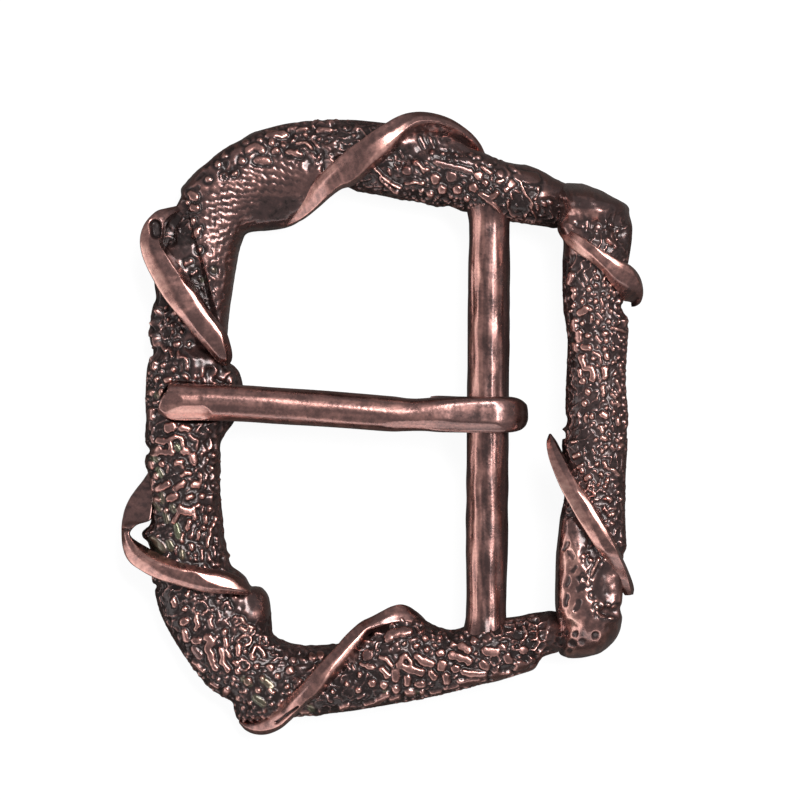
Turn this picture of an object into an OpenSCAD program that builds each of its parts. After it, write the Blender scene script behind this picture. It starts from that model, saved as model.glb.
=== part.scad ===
// Cast centre-bar belt buckle with a raised keeper bar and a loose prong.
// It lies face up. +Z is its face, +X runs from the prong's tip to the keeper,
// and +Y runs along the centre bar. The origin is under the middle of its box.
// All sizes are in millimetres.

/* [Strap] */
// Width of the strap that the buckle is made for
strap_w = 38; // [36:0.5:40]
// Height of the passage for the strap under the keeper bar
keeper_gap = 4.6; // [4.4:0.1:5]
// Height of the arch under the two rails
arch_h = 2; // [1.6:0.1:2.2]

/* [Centre bar] */
// Thickness of the centre bar
bar_d = 4.2; // [3.8:0.1:4.4]
// How much thicker the bar is where it runs into the rails
bar_flare = 0.9; // [0.4:0.1:1.2]

/* [Prong] */
// Thickness of the prong's rod
prong_d = 3.6; // [3.2:0.1:3.8]
// Thickness of the metal round the prong's eye
eye_wall = 1.8; // [1.5:0.1:1.9]
// Play between the eye and the centre bar, all round
eye_play = 0.1; // [0.05:0.01:0.1]
// Play between the prong's tip and its seat in the rim, all round
seat_play = 0.06; // [0.04:0.01:0.1]

/* [Casting] */
// Height of the square edge at the foot of the domed sections
edge_h = 0.8; // [0.5:0.1:1.2]
// How far the back is drawn in from the widest line
draft = 0.3; // [0.1:0.1:0.5]

/* [Hidden] */
$fn = 48;

// The tables below are for a 38 mm strap, and plan sizes grow with the strap.
k = strap_w / 38;
face_steps = 8;
vine_sides = 8;
between = 2;

// The clear length of the bar, and where it lies.
bar_x = 10.65 * k;
bar_top_y = 23 * k;
bar_low_y = -22.6 * k;
bar_clear_top = 21 * k;
bar_clear_low = -19.8 * k;
eye_r = bar_d / 2 + eye_play + eye_wall;
bar_z = eye_r + 0.2;

// The prong's rod starts level with the top of its eye and falls to its seat, a little
// askew in plan. The tail runs from under the eye back up to the rod.
prong_y = 0.9 * k;
prong_w = prong_d;
rod_r = prong_d / 2;
rod_z = bar_z + eye_r - rod_r;
tip = [-21.7 * k, 2.25 * k, 5];
rod_root = [bar_x, 0.75 * k, rod_z];
tip_round = 0.8;
eye_round = 0.8;
tail_w = 3.1;
tail = [-6.4, 0.9];
tail_r = 0.7;

// Rim, from the keeper's upper foot round the left side to its lower foot.
// crest is the place of the highest line, from 0 at the outer edge to 1.
RIM = [
  // outer x, outer y, inner x, inner y, height, crest
  [ 20.0,  23.2,  20.0,  20.3, 4.4, 0.50],
  [ 17.5,  24.2,  17.6,  19.8, 5.2, 0.50],
  [ 14.8,  25.5,  14.6,  19.9, 5.6, 0.50],
  [ 12.0,  26.4,  11.8,  20.4, 5.7, 0.48],
  [  9.0,  27.6,   8.5,  21.1, 5.6, 0.46],
  [  6.2,  29.1,   5.8,  21.8, 5.5, 0.46],
  [  2.8,  29.8,   3.0,  22.3, 5.4, 0.46],
  [ -1.0,  30.2,  -1.0,  23.1, 5.4, 0.48],
  [ -5.0,  30.4,  -4.6,  23.0, 5.4, 0.46],
  [ -9.5,  30.0,  -8.3,  21.3, 5.4, 0.44],
  [-13.5,  28.8, -11.2,  19.9, 5.4, 0.42],
  [-17.2,  26.5, -13.2,  18.8, 5.4, 0.42],
  [-20.4,  23.2, -14.1,  17.4, 5.4, 0.42],
  [-22.3,  19.6, -14.5,  15.6, 5.4, 0.42],
  [-22.6,  15.4, -14.9,  13.4, 5.4, 0.42],
  [-22.9,  11.2, -15.3,  10.6, 5.4, 0.42],
  [-23.3,   7.6, -15.2,   7.6, 5.4, 0.42],
  [-23.6,   4.4, -14.2,   4.2, 5.5, 0.40],
  [-23.6,   1.9, -14.0,   1.8, 5.6, 0.40],
  [-23.6,  -0.6, -15.1,  -0.6, 5.5, 0.40],
  [-23.5,  -3.2, -16.1,  -3.2, 5.4, 0.42],
  [-23.3,  -6.2, -16.2,  -6.2, 5.4, 0.42],
  [-23.2,  -9.6, -15.9,  -9.6, 5.4, 0.42],
  [-23.1, -13.0, -15.3, -13.0, 5.4, 0.42],
  [-22.8, -16.2, -13.5, -15.7, 5.4, 0.42],
  [-21.8, -19.6, -11.7, -18.0, 5.4, 0.42],
  [-20.0, -22.7, -10.8, -20.2, 5.4, 0.42],
  [-17.5, -26.0,  -9.4, -21.8, 5.4, 0.44],
  [-14.0, -28.6,  -7.2, -22.2, 5.4, 0.46],
  [-10.0, -29.3,  -5.2, -22.1, 5.4, 0.48],
  [ -5.5, -29.1,  -3.2, -21.7, 5.4, 0.50],
  [ -1.0, -28.5,  -0.6, -20.7, 5.4, 0.52],
  [  3.5, -27.7,   3.0, -20.0, 5.4, 0.52],
  [  7.8, -26.6,   7.0, -20.6, 5.5, 0.50],
  [ 11.5, -25.7,  10.6, -20.2, 5.6, 0.50],
  [ 14.6, -24.8,  13.9, -19.3, 5.5, 0.50],
  [ 16.4, -23.2,  16.2, -18.9, 5.2, 0.50],
  [ 20.0, -22.4,  20.0, -19.4, 4.4, 0.50],
];

// Keeper bar, from the end of its upper foot to the end of its lower one.
KEEPER = [
  // y, left x, right x, underside as a part of the gap, top
  [ 24.2, 18.2, 20.2, 0.0, 2.8],
  [ 23.8, 17.7, 21.4, 0.0, 5.0],
  [ 23.0, 17.5, 22.9, 0.0, 7.0],
  [ 22.0, 17.5, 24.2, 0.0, 8.2],
  [ 20.8, 17.5, 25.0, 0.0, 8.8],
  [ 20.0, 17.5, 25.2, 0.9, 9.0],
  [ 19.0, 17.7, 25.2, 1.0, 9.1],
  [ 17.0, 18.2, 24.9, 1.0, 9.2],
  [ 14.0, 18.1, 24.4, 1.0, 9.1],
  [ 10.0, 18.4, 24.3, 1.0, 9.0],
  [  6.0, 18.6, 24.4, 1.0, 9.0],
  [  1.0, 18.5, 24.6, 1.0, 9.0],
  [ -1.6, 18.2, 24.6, 1.0, 9.0],
  [ -3.6, 17.9, 24.5, 1.0, 9.0],
  [ -7.6, 18.1, 24.3, 1.0, 9.0],
  [-12.5, 17.5, 24.5, 1.0, 9.0],
  [-16.0, 17.4, 24.2, 1.0, 9.0],
  [-18.4, 17.4, 24.0, 1.0, 8.9],
  [-19.4, 17.5, 24.1, 0.9, 8.8],
  [-20.2, 17.6, 24.0, 0.0, 8.5],
  [-21.6, 17.8, 23.5, 0.0, 7.6],
  [-22.6, 18.1, 22.5, 0.0, 6.4],
  [-23.2, 18.5, 21.4, 0.0, 5.0],
  [-23.5, 18.9, 20.6, 0.0, 3.0],
];

// Vines. Each climbs from behind the casting, crosses its face and goes down
// behind it again, and all six turn the same way round it.
VINE_TOP = [
  // x, y, z, half width, half height
  [ 10.0,  26.4, 2.9, 0.8, 0.8],
  [  9.0,  27.6, 3.9, 0.9, 0.9],
  [  7.6,  28.9, 5.1, 1.0, 1.0],
  [  5.8,  29.8, 6.3, 1.0, 1.1],
  [  3.9,  30.1, 7.1, 1.0, 1.1],
  [  2.1,  29.8, 7.5, 1.1, 1.1],
  [  0.3,  28.6, 7.6, 1.2, 1.1],
  [ -1.6,  27.1, 7.4, 1.3, 1.2],
  [ -3.7,  25.2, 7.0, 1.3, 1.2],
  [ -5.7,  23.4, 6.3, 1.3, 1.2],
  [ -7.4,  21.9, 5.2, 1.2, 1.1],
  [ -9.2,  20.7, 3.9, 1.1, 1.0],
  [-11.2,  20.0, 2.7, 1.0, 0.9],
  [-12.8,  19.6, 1.6, 0.8, 0.8],
];
VINE_LEFT_HIGH = [
  [-20.4,  20.9, 1.2, 0.8, 0.8],
  [-22.1,  20.6, 1.9, 1.0, 0.9],
  [-23.0,  19.3, 2.8, 1.1, 1.0],
  [-23.0,  17.7, 3.7, 1.1, 1.1],
  [-22.4,  15.9, 4.6, 1.2, 1.2],
  [-21.0,  13.9, 5.2, 1.3, 1.2],
  [-19.5,  12.0, 5.4, 1.3, 1.2],
  [-18.0,  10.0, 5.2, 1.3, 1.2],
  [-16.6,   8.1, 4.5, 1.2, 1.2],
  [-15.7,   6.7, 3.3, 1.1, 1.0],
  [-15.2,   5.6, 1.8, 0.9, 0.8],
];
VINE_LEFT_LOW = [
  [-23.0,  -6.0, 1.2, 0.8, 0.8],
  [-24.2,  -7.6, 1.5, 1.0, 0.9],
  [-24.8,  -9.2, 1.9, 1.0, 1.0],
  [-25.2, -10.8, 2.3, 0.9, 1.0],
  [-25.0, -12.3, 2.9, 1.0, 1.0],
  [-24.1, -13.5, 3.7, 1.1, 1.1],
  [-22.5, -14.4, 4.6, 1.2, 1.2],
  [-20.2, -15.0, 5.4, 1.3, 1.2],
  [-17.7, -15.6, 5.6, 1.3, 1.2],
  [-15.4, -16.2, 4.9, 1.2, 1.2],
  [-13.9, -16.7, 3.7, 1.1, 1.1],
  [-13.0, -17.3, 2.2, 0.9, 0.9],
];
VINE_BOTTOM = [
  [-13.8, -28.2, 1.2, 0.8, 0.8],
  [-13.5, -29.5, 1.7, 1.0, 0.9],
  [-12.4, -30.1, 2.6, 1.0, 1.0],
  [-10.8, -29.6, 3.8, 1.2, 1.1],
  [ -9.2, -28.4, 4.9, 1.3, 1.2],
  [ -7.6, -26.8, 5.8, 1.3, 1.2],
  [ -6.0, -25.1, 6.2, 1.3, 1.2],
  [ -4.5, -23.4, 6.2, 1.3, 1.2],
  [ -2.9, -21.8, 5.9, 1.2, 1.2],
  [ -1.1, -20.3, 5.5, 1.1, 1.1],
  [  0.7, -19.4, 5.2, 1.1, 1.1],
  [  2.3, -19.2, 4.7, 1.1, 1.1],
  [  3.8, -20.0, 3.7, 1.0, 1.0],
  [  4.9, -20.9, 2.8, 0.8, 0.8],
];
VINE_KEEPER_HIGH = [
  [ 17.9,  20.3, 4.2, 0.8, 0.8],
  [ 18.6,  19.3, 6.4, 0.9, 0.9],
  [ 19.7,  18.2, 8.2, 1.0, 1.0],
  [ 21.3,  17.1, 9.0, 1.0, 1.0],
  [ 23.0,  16.0, 8.6, 1.1, 1.0],
  [ 24.3,  14.9, 7.7, 1.1, 1.1],
  [ 25.1,  13.6, 6.6, 1.1, 1.1],
  [ 25.0,  12.6, 5.6, 1.0, 1.0],
  [ 24.2,  12.1, 5.2, 0.8, 0.8],
];
VINE_KEEPER_LOW = [
  [ 16.8,  -1.3, 6.0, 0.3, 0.3],
  [ 17.1,  -2.7, 6.4, 0.6, 0.6],
  [ 17.7,  -4.3, 7.2, 0.8, 0.8],
  [ 18.6,  -6.0, 8.1, 0.9, 0.9],
  [ 19.8,  -7.9, 8.9, 1.0, 1.0],
  [ 21.0,  -9.8, 9.2, 1.1, 1.0],
  [ 22.3, -11.8, 8.8, 1.1, 1.0],
  [ 23.4, -13.5, 7.8, 1.0, 1.0],
  [ 24.4, -15.1, 6.5, 0.9, 0.9],
  [ 24.8, -16.4, 5.5, 0.6, 0.7],
];
VINES = [VINE_TOP, VINE_LEFT_HIGH, VINE_LEFT_LOW, VINE_BOTTOM, VINE_KEEPER_HIGH, VINE_KEEPER_LOW];

// Rises smoothly from 0 to 1 as t does.
function ramp(t) = let (c = max(0, min(1, t))) c * c * (3 - 2 * c);

// Height of the back above the table: flat on the left side, arched under the rails.
function back_z(x) = arch_h * ramp((x / k + 13) / 16) * ramp((20 - x / k) / 8);

// Point at t on the smooth curve through four rows, between the middle two.
function curve(a, b, c, d, t) =
  (2 * b + (c - a) * t + (2 * a - 5 * b + 4 * c - d) * t * t + (3 * b - a - 3 * c + d) * t * t * t) / 2;

// The rows of a table with others worked out between them.
function smooth(rows, steps) = [
  for (i = [0 : len(rows) - 2], s = [0 : steps - 1])
    curve(rows[max(i - 1, 0)], rows[i], rows[i + 1], rows[min(i + 2, len(rows) - 1)], s / steps),
  rows[len(rows) - 1]
];

// Domed section that stands on base between two points of the plan.
function domed(outer, inner, base, height, crest) =
  let (
    across = (inner - outer) / norm(inner - outer),
    foot_a = outer + across * draft,
    foot_b = inner - across * draft,
    edge = min(edge_h, height / 3),
    lean = ln(crest) / ln(0.5)
  ) [
    [foot_a[0], foot_a[1], base],
    for (s = [0 : face_steps])
      let (
        a = 180 * s / face_steps,
        u = pow((1 - cos(a)) / 2, lean),
        p = outer + (inner - outer) * u
      )
      [p[0], p[1], base + edge + (height - edge) * pow(max(0, sin(a)), 0.7)],
    [foot_b[0], foot_b[1], base]
  ];

// Oval section of a vine at p, square to the way it runs.
function oval(p, way, half_w, half_h) =
  let (
    side = cross(way, [0, 0, 1]) / norm(cross(way, [0, 0, 1])),
    up = cross(side, way) / norm(way)
  ) [
    for (s = [0 : vine_sides - 1])
      let (a = 360 * s / vine_sides) p + side * half_w * cos(a) + up * half_h * sin(a)
  ];

function at(row) = [row[0] * k, row[1] * k, row[2]];

// Closed solid through a row of rings with equal numbers of points.
module skin(rings) {
  n = len(rings[0]);
  last = n * (len(rings) - 1);
  walls = [
    for (i = [0 : len(rings) - 2], j = [0 : n - 1])
      let (a = i * n + j, b = i * n + (j + 1) % n)
      each [[a, b, b + n], [a, b + n, a + n]]
  ];
  ends = [for (j = [1 : n - 2]) each [[0, j + 1, j], [last, last + j, last + j + 1]]];
  polyhedron([for (ring = rings) each ring], concat(walls, ends));
}

module rim() {
  skin([
    for (r = smooth(RIM, between))
      let (outer = [r[0], r[1]] * k, inner = [r[2], r[3]] * k)
      domed(outer, inner, back_z((outer[0] + inner[0]) / 2), r[4], r[5])
  ]);
}

module keeper_bar() {
  skin([
    for (r = KEEPER)
      let (base = r[3] * keeper_gap)
      domed([r[1], r[0]] * k, [r[2], r[0]] * k, base, r[4] - base, 0.5)
  ]);
}

module vine(table) {
  rows = smooth(table, between);
  last = len(rows) - 1;
  skin([
    for (i = [0 : last])
      oval(at(rows[i]), at(rows[min(i + 1, last)]) - at(rows[max(i - 1, 0)]), rows[i][3], rows[i][4])
  ]);
}

// Cylinder or cone along Y from y1 to y2, on the centre bar's axis.
module along_bar(y1, y2, r1, r2) {
  translate([bar_x, y1, bar_z]) rotate([-90, 0, 0]) cylinder(h = y2 - y1, r1 = r1, r2 = r2);
}

module centre_bar() {
  r = bar_d / 2;
  flare_l = 2.4;
  along_bar(bar_low_y, bar_top_y, r, r);
  along_bar(bar_clear_top - flare_l / 2, bar_clear_top + flare_l / 2, r, r + bar_flare);
  along_bar(bar_clear_low - flare_l / 2, bar_clear_low + flare_l / 2, r + bar_flare, r);
}

// Solid of revolution about Z from z = 0 up, with its corners rounded by round_r.
// Only the lower corner is rounded where one_end is true.
module rounded_drum(r, h, round_r, one_end = false) {
  top = one_end ? h : h - round_r;
  rotate_extrude() union() {
    square([r - round_r, h]);
    translate([0, round_r]) square([r, top - round_r]);
    translate([r - round_r, round_r]) circle(r = round_r);
    if (!one_end) translate([r - round_r, top]) circle(r = round_r);
  }
}

// The rod from its tip to the eye, bigger all round by play.
module rod(play) {
  run = rod_root - tip;
  l = norm(run);
  translate(tip - play * run / l) rotate([0, acos(run[2] / l), atan2(run[1], run[0])])
    rounded_drum(rod_r + play, l + play, tip_round + play, one_end = true);
}

module frame() color([0.42, 0.27, 0.23]) difference() {
  union() {
    rim();
    keeper_bar();
    centre_bar();
    for (table = VINES) vine(table);
  }
  rod(seat_play);
}

module eye() {
  translate([bar_x, prong_y - prong_w / 2, bar_z]) rotate([-90, 0, 0]) rounded_drum(eye_r, prong_w, eye_round);
}

// Side view of the tail: from under the eye up to the rod's lower half.
module tail_outline() {
  reach = norm(tail);
  touch = atan2(tail[1], tail[0]) + acos((eye_r - tail_r) / reach);
  way = [cos(touch), sin(touch)];
  translate(tail) circle(r = tail_r);
  polygon([[0, 0], [0, rod_z - bar_z], tail + [0, tail_r], tail + tail_r * way, eye_r * way]);
}

module prong() color([0.5, 0.33, 0.28]) difference() {
  union() {
    rod(0);
    eye();
    translate([bar_x, prong_y + tail_w / 2, bar_z]) rotate([90, 0, 0]) linear_extrude(tail_w) tail_outline();
  }
  along_bar(prong_y - prong_w, prong_y + prong_w, bar_d / 2 + eye_play, bar_d / 2 + eye_play);
}

frame();
prong();
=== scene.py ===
"""Looks of a cast belt buckle: a pebbled rim wound with vines, a centre bar, a keeper bar and a prong.

Lengths are in millimetres on the part's own axes, and become metres where a mesh is made.
"""

import math

import bpy
import numpy as np
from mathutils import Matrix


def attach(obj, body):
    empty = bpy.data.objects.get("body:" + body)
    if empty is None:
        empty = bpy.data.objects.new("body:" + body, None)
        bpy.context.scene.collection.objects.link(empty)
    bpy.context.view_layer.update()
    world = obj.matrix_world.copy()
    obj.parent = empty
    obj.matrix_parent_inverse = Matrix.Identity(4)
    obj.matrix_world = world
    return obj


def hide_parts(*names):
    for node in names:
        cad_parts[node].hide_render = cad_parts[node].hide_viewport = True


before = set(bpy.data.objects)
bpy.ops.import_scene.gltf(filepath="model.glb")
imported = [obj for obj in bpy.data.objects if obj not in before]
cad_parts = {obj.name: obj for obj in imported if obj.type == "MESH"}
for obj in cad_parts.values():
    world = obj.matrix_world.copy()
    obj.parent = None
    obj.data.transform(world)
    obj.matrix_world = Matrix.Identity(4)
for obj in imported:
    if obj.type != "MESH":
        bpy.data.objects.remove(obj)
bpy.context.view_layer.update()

MM = 0.001

# Camera, light and floor

# The picture's pixel that shows the origin of the axes, and its pixels to a millimetre.
ORIGIN_PIXEL = (381.5, 423.5)
PIXELS_PER_MM = 10
# What the camera looks at, and how much of its level is across the picture.
PHOTO_MIDDLE = (1.85, 2.35, 5.0)
PHOTO_WIDTH = 80.0
LENS = 240.0
SENSOR = 36.0
CAMERA_FAR = PHOTO_WIDTH * LENS / SENSOR
TABLE_WIDE = 1200.0


def add_camera():
    """A long lens straight above the buckle, with PHOTO_WIDTH across the picture."""
    data = bpy.data.cameras.new("camera")
    data.lens, data.sensor_width = LENS, SENSOR
    x, y, z = PHOTO_MIDDLE
    camera = bpy.data.objects.new("camera", data)
    camera.location = (x * MM, y * MM, (z + CAMERA_FAR) * MM)
    data.clip_start, data.clip_end = 0.01, 10.0
    bpy.context.scene.collection.objects.link(camera)
    bpy.context.scene.camera = camera


def add_softbox(name, place, wide, high, glow):
    """An area light that faces the buckle.

    glow is how bright its face is, in watts per square metre and steradian."""
    data = bpy.data.lights.new(name, "AREA")
    data.shape, data.size, data.size_y = "RECTANGLE", wide * MM, high * MM
    data.energy = glow * math.pi * wide * high * MM * MM
    lamp = bpy.data.objects.new(name, data)
    lamp.location = [v * MM for v in place]
    towards = -lamp.location.normalized()
    lamp.rotation_euler = towards.to_track_quat("-Z", "Y").to_euler()
    bpy.context.scene.collection.objects.link(lamp)


def add_world(strength):
    """Soft light from all round."""
    world = bpy.data.worlds.new("studio")
    world.use_nodes = True
    sky = world.node_tree.nodes["Background"]
    sky.inputs["Color"].default_value = (0.96, 0.96, 1.0, 1)
    sky.inputs["Strength"].default_value = strength
    bpy.context.scene.world = world


def add_floor():
    """A white lit table that the buckle lies on.

    The metal mirrors it dark, as if black cards stood round it."""
    half = TABLE_WIDE / 2 * MM
    mesh = bpy.data.meshes.new("table")
    corners = [(-half, -half, 0), (half, -half, 0), (half, half, 0), (-half, half, 0)]
    mesh.from_pydata(corners, [], [(0, 1, 2, 3)])
    material = bpy.data.materials.new("white_table")
    material.use_nodes = True
    nodes, links = material.node_tree.nodes, material.node_tree.links
    white = nodes["Principled BSDF"]
    white.inputs["Base Color"].default_value = (0.12, 0.12, 0.12, 1)
    white.inputs["Roughness"].default_value = 0.9
    white.inputs["Emission Color"].default_value = (1, 1, 1, 1)
    white.inputs["Emission Strength"].default_value = 0.93
    card = nodes.new("ShaderNodeBsdfDiffuse")
    card.inputs["Color"].default_value = (0.10, 0.09, 0.085, 1)
    ray, pick = nodes.new("ShaderNodeLightPath"), nodes.new("ShaderNodeMixShader")
    links.new(ray.outputs["Is Camera Ray"], pick.inputs[0])
    links.new(card.outputs[0], pick.inputs[1])
    links.new(white.outputs[0], pick.inputs[2])
    links.new(pick.outputs[0], nodes["Material Output"].inputs["Surface"])
    mesh.materials.append(material)
    table = bpy.data.objects.new("table", mesh)
    bpy.context.scene.collection.objects.link(table)


add_camera()
add_world(0.27)
add_softbox("key_strip", (160, 160, 480), 430, 150, 13)
add_softbox("side_softbox", (-390, -180, 150), 760, 180, 1.3)
add_softbox("front_softbox", (20, -430, 110), 420, 110, 1.2)
add_floor()
bpy.context.scene.view_settings.view_transform = "Standard"

# Curves and grids


def plan(spots, z=PHOTO_MIDDLE[2]):
    """Places read off the picture, in its pixels, as x and y in millimetres.

    They are moved out or in so that the camera sees them there when they are z high."""
    places = (np.asarray(spots, float) - ORIGIN_PIXEL) * (1, -1) / PIXELS_PER_MM
    drop = PHOTO_MIDDLE[2] - np.asarray(z, float)[..., None]
    return places + (places - PHOTO_MIDDLE[:2]) * drop / CAMERA_FAR


def between(rows, steps=24):
    """The rows of a table with steps more between each two, on the Catmull-Rom curve through them."""
    rows = np.asarray(rows, float)
    padded = np.vstack([rows[:1], rows, rows[-1:]])
    a, b, c, d = padded[:-3], padded[1:-2], padded[2:-1], padded[3:]
    t = np.linspace(0, 1, steps, endpoint=False)[:, None, None]
    spans = (2 * b + (c - a) * t + (2 * a - 5 * b + 4 * c - d) * t**2 + (3 * b - a - 3 * c + d) * t**3) / 2
    return np.vstack([spans.transpose(1, 0, 2).reshape(-1, rows.shape[1]), rows[-1:]])


def travelled(places):
    """How far along a line of points each one is."""
    return np.concatenate([[0], np.cumsum(np.linalg.norm(np.diff(places, axis=0), axis=1))])


def even(rows, place, step):
    """Rows picked off a finely divided table so that place, a point for each row, moves by step."""
    travel = travelled(place)
    stops = np.linspace(0, travel[-1], max(3, round(travel[-1] / step) + 1))
    return np.column_stack([np.interp(stops, travel, column) for column in rows.T])


def ease(t):
    """Rises smoothly from 0 to 1 as t does."""
    t = np.clip(t, 0, 1)
    return t * t * (3 - 2 * t)


def unit(v):
    """Each vector divided by its length."""
    return v / np.maximum(np.linalg.norm(v, axis=-1, keepdims=True), 1e-12)


def ring_faces(rings, sides):
    """Corners of the quads of a tube of rings, each closed round, and of a fan on each end.

    The two fans' middles are the last two vertices."""
    i, j = np.meshgrid(np.arange(rings - 1), np.arange(sides), indexing="ij")
    a, b = i * sides + j, i * sides + (j + 1) % sides
    quads = np.stack([a, b, b + sides, a + sides], -1).reshape(-1, 4)
    j = np.arange(sides)
    last = (rings - 1) * sides
    start = np.stack([np.full(sides, rings * sides), (j + 1) % sides, j], -1)
    end = np.stack([np.full(sides, rings * sides + 1), last + j, last + (j + 1) % sides], -1)
    return quads, np.vstack([start, end])


def facing(grid):
    """Outward unit normals of a tube's grid, from the cross product of its two directions."""
    along = np.gradient(grid, axis=0)
    wrapped = np.concatenate([grid[:, -1:], grid, grid[:, :1]], axis=1)
    round_it = wrapped[:, 2:] - wrapped[:, :-2]
    normal = unit(np.cross(round_it, along))
    middle = grid.mean(axis=1, keepdims=True)
    inward = np.einsum("ijk,ijk->ij", normal, grid - middle).sum() < 0
    return -normal if inward else normal


def tube_piece(name, grid, material, node, body, masks=None, normals=None):
    """A closed piece over a grid of rings. masks are numbers at each grid point that its material reads."""
    rings, sides = grid.shape[:2]
    points = np.vstack([grid.reshape(-1, 3), grid[0].mean(axis=0), grid[-1].mean(axis=0)]) * MM
    quads, fans = ring_faces(rings, sides)
    corners = points[quads]
    halves = np.cross(corners[:, 1], corners[:, 2]) + np.cross(corners[:, 2], corners[:, 3])
    volume = np.einsum("ij,ij->i", corners[:, 0], halves).sum()
    if volume < 0:
        quads, fans = quads[:, ::-1], fans[:, ::-1]
    mesh = bpy.data.meshes.new(name)
    mesh.vertices.add(len(points))
    mesh.vertices.foreach_set("co", points.astype(np.float32).ravel())
    mesh.loops.add(quads.size + fans.size)
    mesh.loops.foreach_set("vertex_index", np.concatenate([quads.ravel(), fans.ravel()]).astype(np.int32))
    mesh.polygons.add(len(quads) + len(fans))
    starts = np.concatenate([np.arange(len(quads)) * 4, quads.size + np.arange(len(fans)) * 3])
    mesh.polygons.foreach_set("loop_start", starts.astype(np.int32))
    mesh.polygons.foreach_set("use_smooth", np.ones(len(starts), bool))
    mesh.update(calc_edges=True)
    mesh.validate()
    for mask, values in (masks or {}).items():
        ends = [values[0].mean(), values[-1].mean()]
        layer = mesh.attributes.new(mask, "FLOAT", "POINT")
        layer.data.foreach_set("value", np.concatenate([values.ravel(), ends]).astype(np.float32))
    if normals is not None:
        ends = [mesh.vertices[len(points) - 2].normal, mesh.vertices[len(points) - 1].normal]
        mesh.normals_split_custom_set_from_vertices(np.vstack([normals.reshape(-1, 3), ends]))
    mesh.materials.append(material)
    piece = bpy.data.objects.new(name, mesh)
    bpy.context.scene.collection.objects.link(piece)
    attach(piece, body)
    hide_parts(node)
    return piece


# Relief of the casting


def scatter(cell, seed):
    """A number from 0 to 1 that looks random for each cell of a square grid."""
    return np.sin(cell[..., 0] * 127.1 + cell[..., 1] * 311.7 + seed * 74.7) * 43758.5453 % 1


def waves(q, length, seed, spread=0.3, count=44):
    """Sum of plane waves in random directions with lengths near length, scaled to a spread of 1."""
    draw = np.random.default_rng(seed)
    turn = draw.uniform(0, 2 * math.pi, count)
    size = 2 * math.pi / (length * draw.uniform(1 - spread, 1 + spread, count))
    phase = draw.uniform(0, 2 * math.pi, count)
    total = np.zeros(q.shape[:-1])
    for angle, pull, start in zip(turn, size, phase):
        total += np.cos((q[..., 0] * math.cos(angle) + q[..., 1] * math.sin(angle)) * pull + start)
    return total / math.sqrt(count / 2)


def cells(q, pitch, seed):
    """Distances to the nearest and the next of points scattered one to a square of side pitch.

    The last result is the nearest one's own number, from 0 to 1."""
    home = np.floor(q / pitch)
    near = np.full(q.shape[:-1], 99.0)
    following = near.copy()
    number = np.zeros_like(near)
    for dx in (-1, 0, 1):
        for dy in (-1, 0, 1):
            cell = home + (dx, dy)
            px = (cell[..., 0] + 0.15 + 0.7 * scatter(cell, seed)) * pitch
            py = (cell[..., 1] + 0.15 + 0.7 * scatter(cell, seed + 5.3)) * pitch
            d = np.hypot(q[..., 0] - px, q[..., 1] - py)
            closer = d < near
            following = np.where(closer, near, np.minimum(following, d))
            number = np.where(closer, scatter(cell, seed + 9.1), number)
            near = np.where(closer, d, near)
    return near, following, number


def beads(q):
    """Small round beads about 0.4 mm across."""
    bent = q + 0.08 * np.stack([waves(q, 1.3, 21), waves(q, 1.3, 22)], -1)
    near, _, number = cells(bent, 0.7, 4)
    radius = 0.18 + 0.1 * number
    return ease((radius - near) / 0.2 + 0.4) * (0.6 + 0.3 * number)


def curls(q):
    """Thin winding ridges and rings."""
    line = np.abs(waves(q, 1.5, 41, 0.25) + 0.25 * waves(q, 0.8, 42))
    return ease(1.1 - line / 0.36) * 0.7


def plateaus(q):
    """Broad flat plateaus with round pits."""
    near, _, number = cells(q, 1.5, 6)
    pits = ease((near - 0.14 - 0.22 * number) / 0.16)
    return pits * ease((waves(q, 3.0, 51) + 0.9) / 0.4 + 0.5)


def web(q):
    """Thin walls round deep cells."""
    near, following, _ = cells(q, 1.2, 7)
    return ease(1.1 - (following - near) / 0.34) * 0.9


# The point by the top vine that the scales fan out from.
FAN_MIDDLE = (-4.15, 23.15)


def scales(q):
    """Wavy overlapping rows that fan out from FAN_MIDDLE, twice as many farther out."""
    fan = q - FAN_MIDDLE
    far = np.hypot(fan[..., 0], fan[..., 1])
    turn = np.arctan2(-fan[..., 1], -fan[..., 0])
    row = turn * 8.3 + 0.06 * waves(q, 2.6, 62)
    ripple = far * 2 * math.pi / 0.9 + 0.6 * waves(q, 2.0, 61)
    outer = ease((far - 7.5) / 1.5)
    lip = np.zeros_like(far)
    for share, times in ((1 - outer, 1), (outer, 2)):
        step = (times * row + 0.15 * np.sin(ripple + 1.6 * times * row)) % 1
        lip += share * ease(step / 0.24) * (1 - 0.5 * ease((step - 0.24) / 0.76))
    return 0.8 - (0.46 - 0.1 * outer) * (1 - lip) * ease((far - 2) / 6) + 0.03 * waves(q, 0.8, 63)


def lumps(q):
    """Smooth glossy lumps about 0.7 mm across."""
    bent = q + 0.15 * np.stack([waves(q, 2.0, 23), waves(q, 2.0, 24)], -1)
    return 0.4 + 0.26 * waves(bent, 1.25, 25) + 0.1 * waves(bent, 0.7, 26)


def plain(q):
    """Smooth metal with a slight swell."""
    return 0.7 + 0.12 * waves(q, 3.0, 71) + 0.05 * waves(q, 0.9, 72)


KINDS = {
    "beads": beads,
    "curls": curls,
    "plateaus": plateaus,
    "web": web,
    "scales": scales,
    "lumps": lumps,
    "plain": plain,
}

# How deep each kind of relief is cut, in millimetres.
DEPTHS = {
    "beads": 0.38,
    "curls": 0.38,
    "plateaus": 0.36,
    "web": 0.5,
    "scales": 0.34,
    "lumps": 0.5,
    "plain": 0.2,
}

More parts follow.
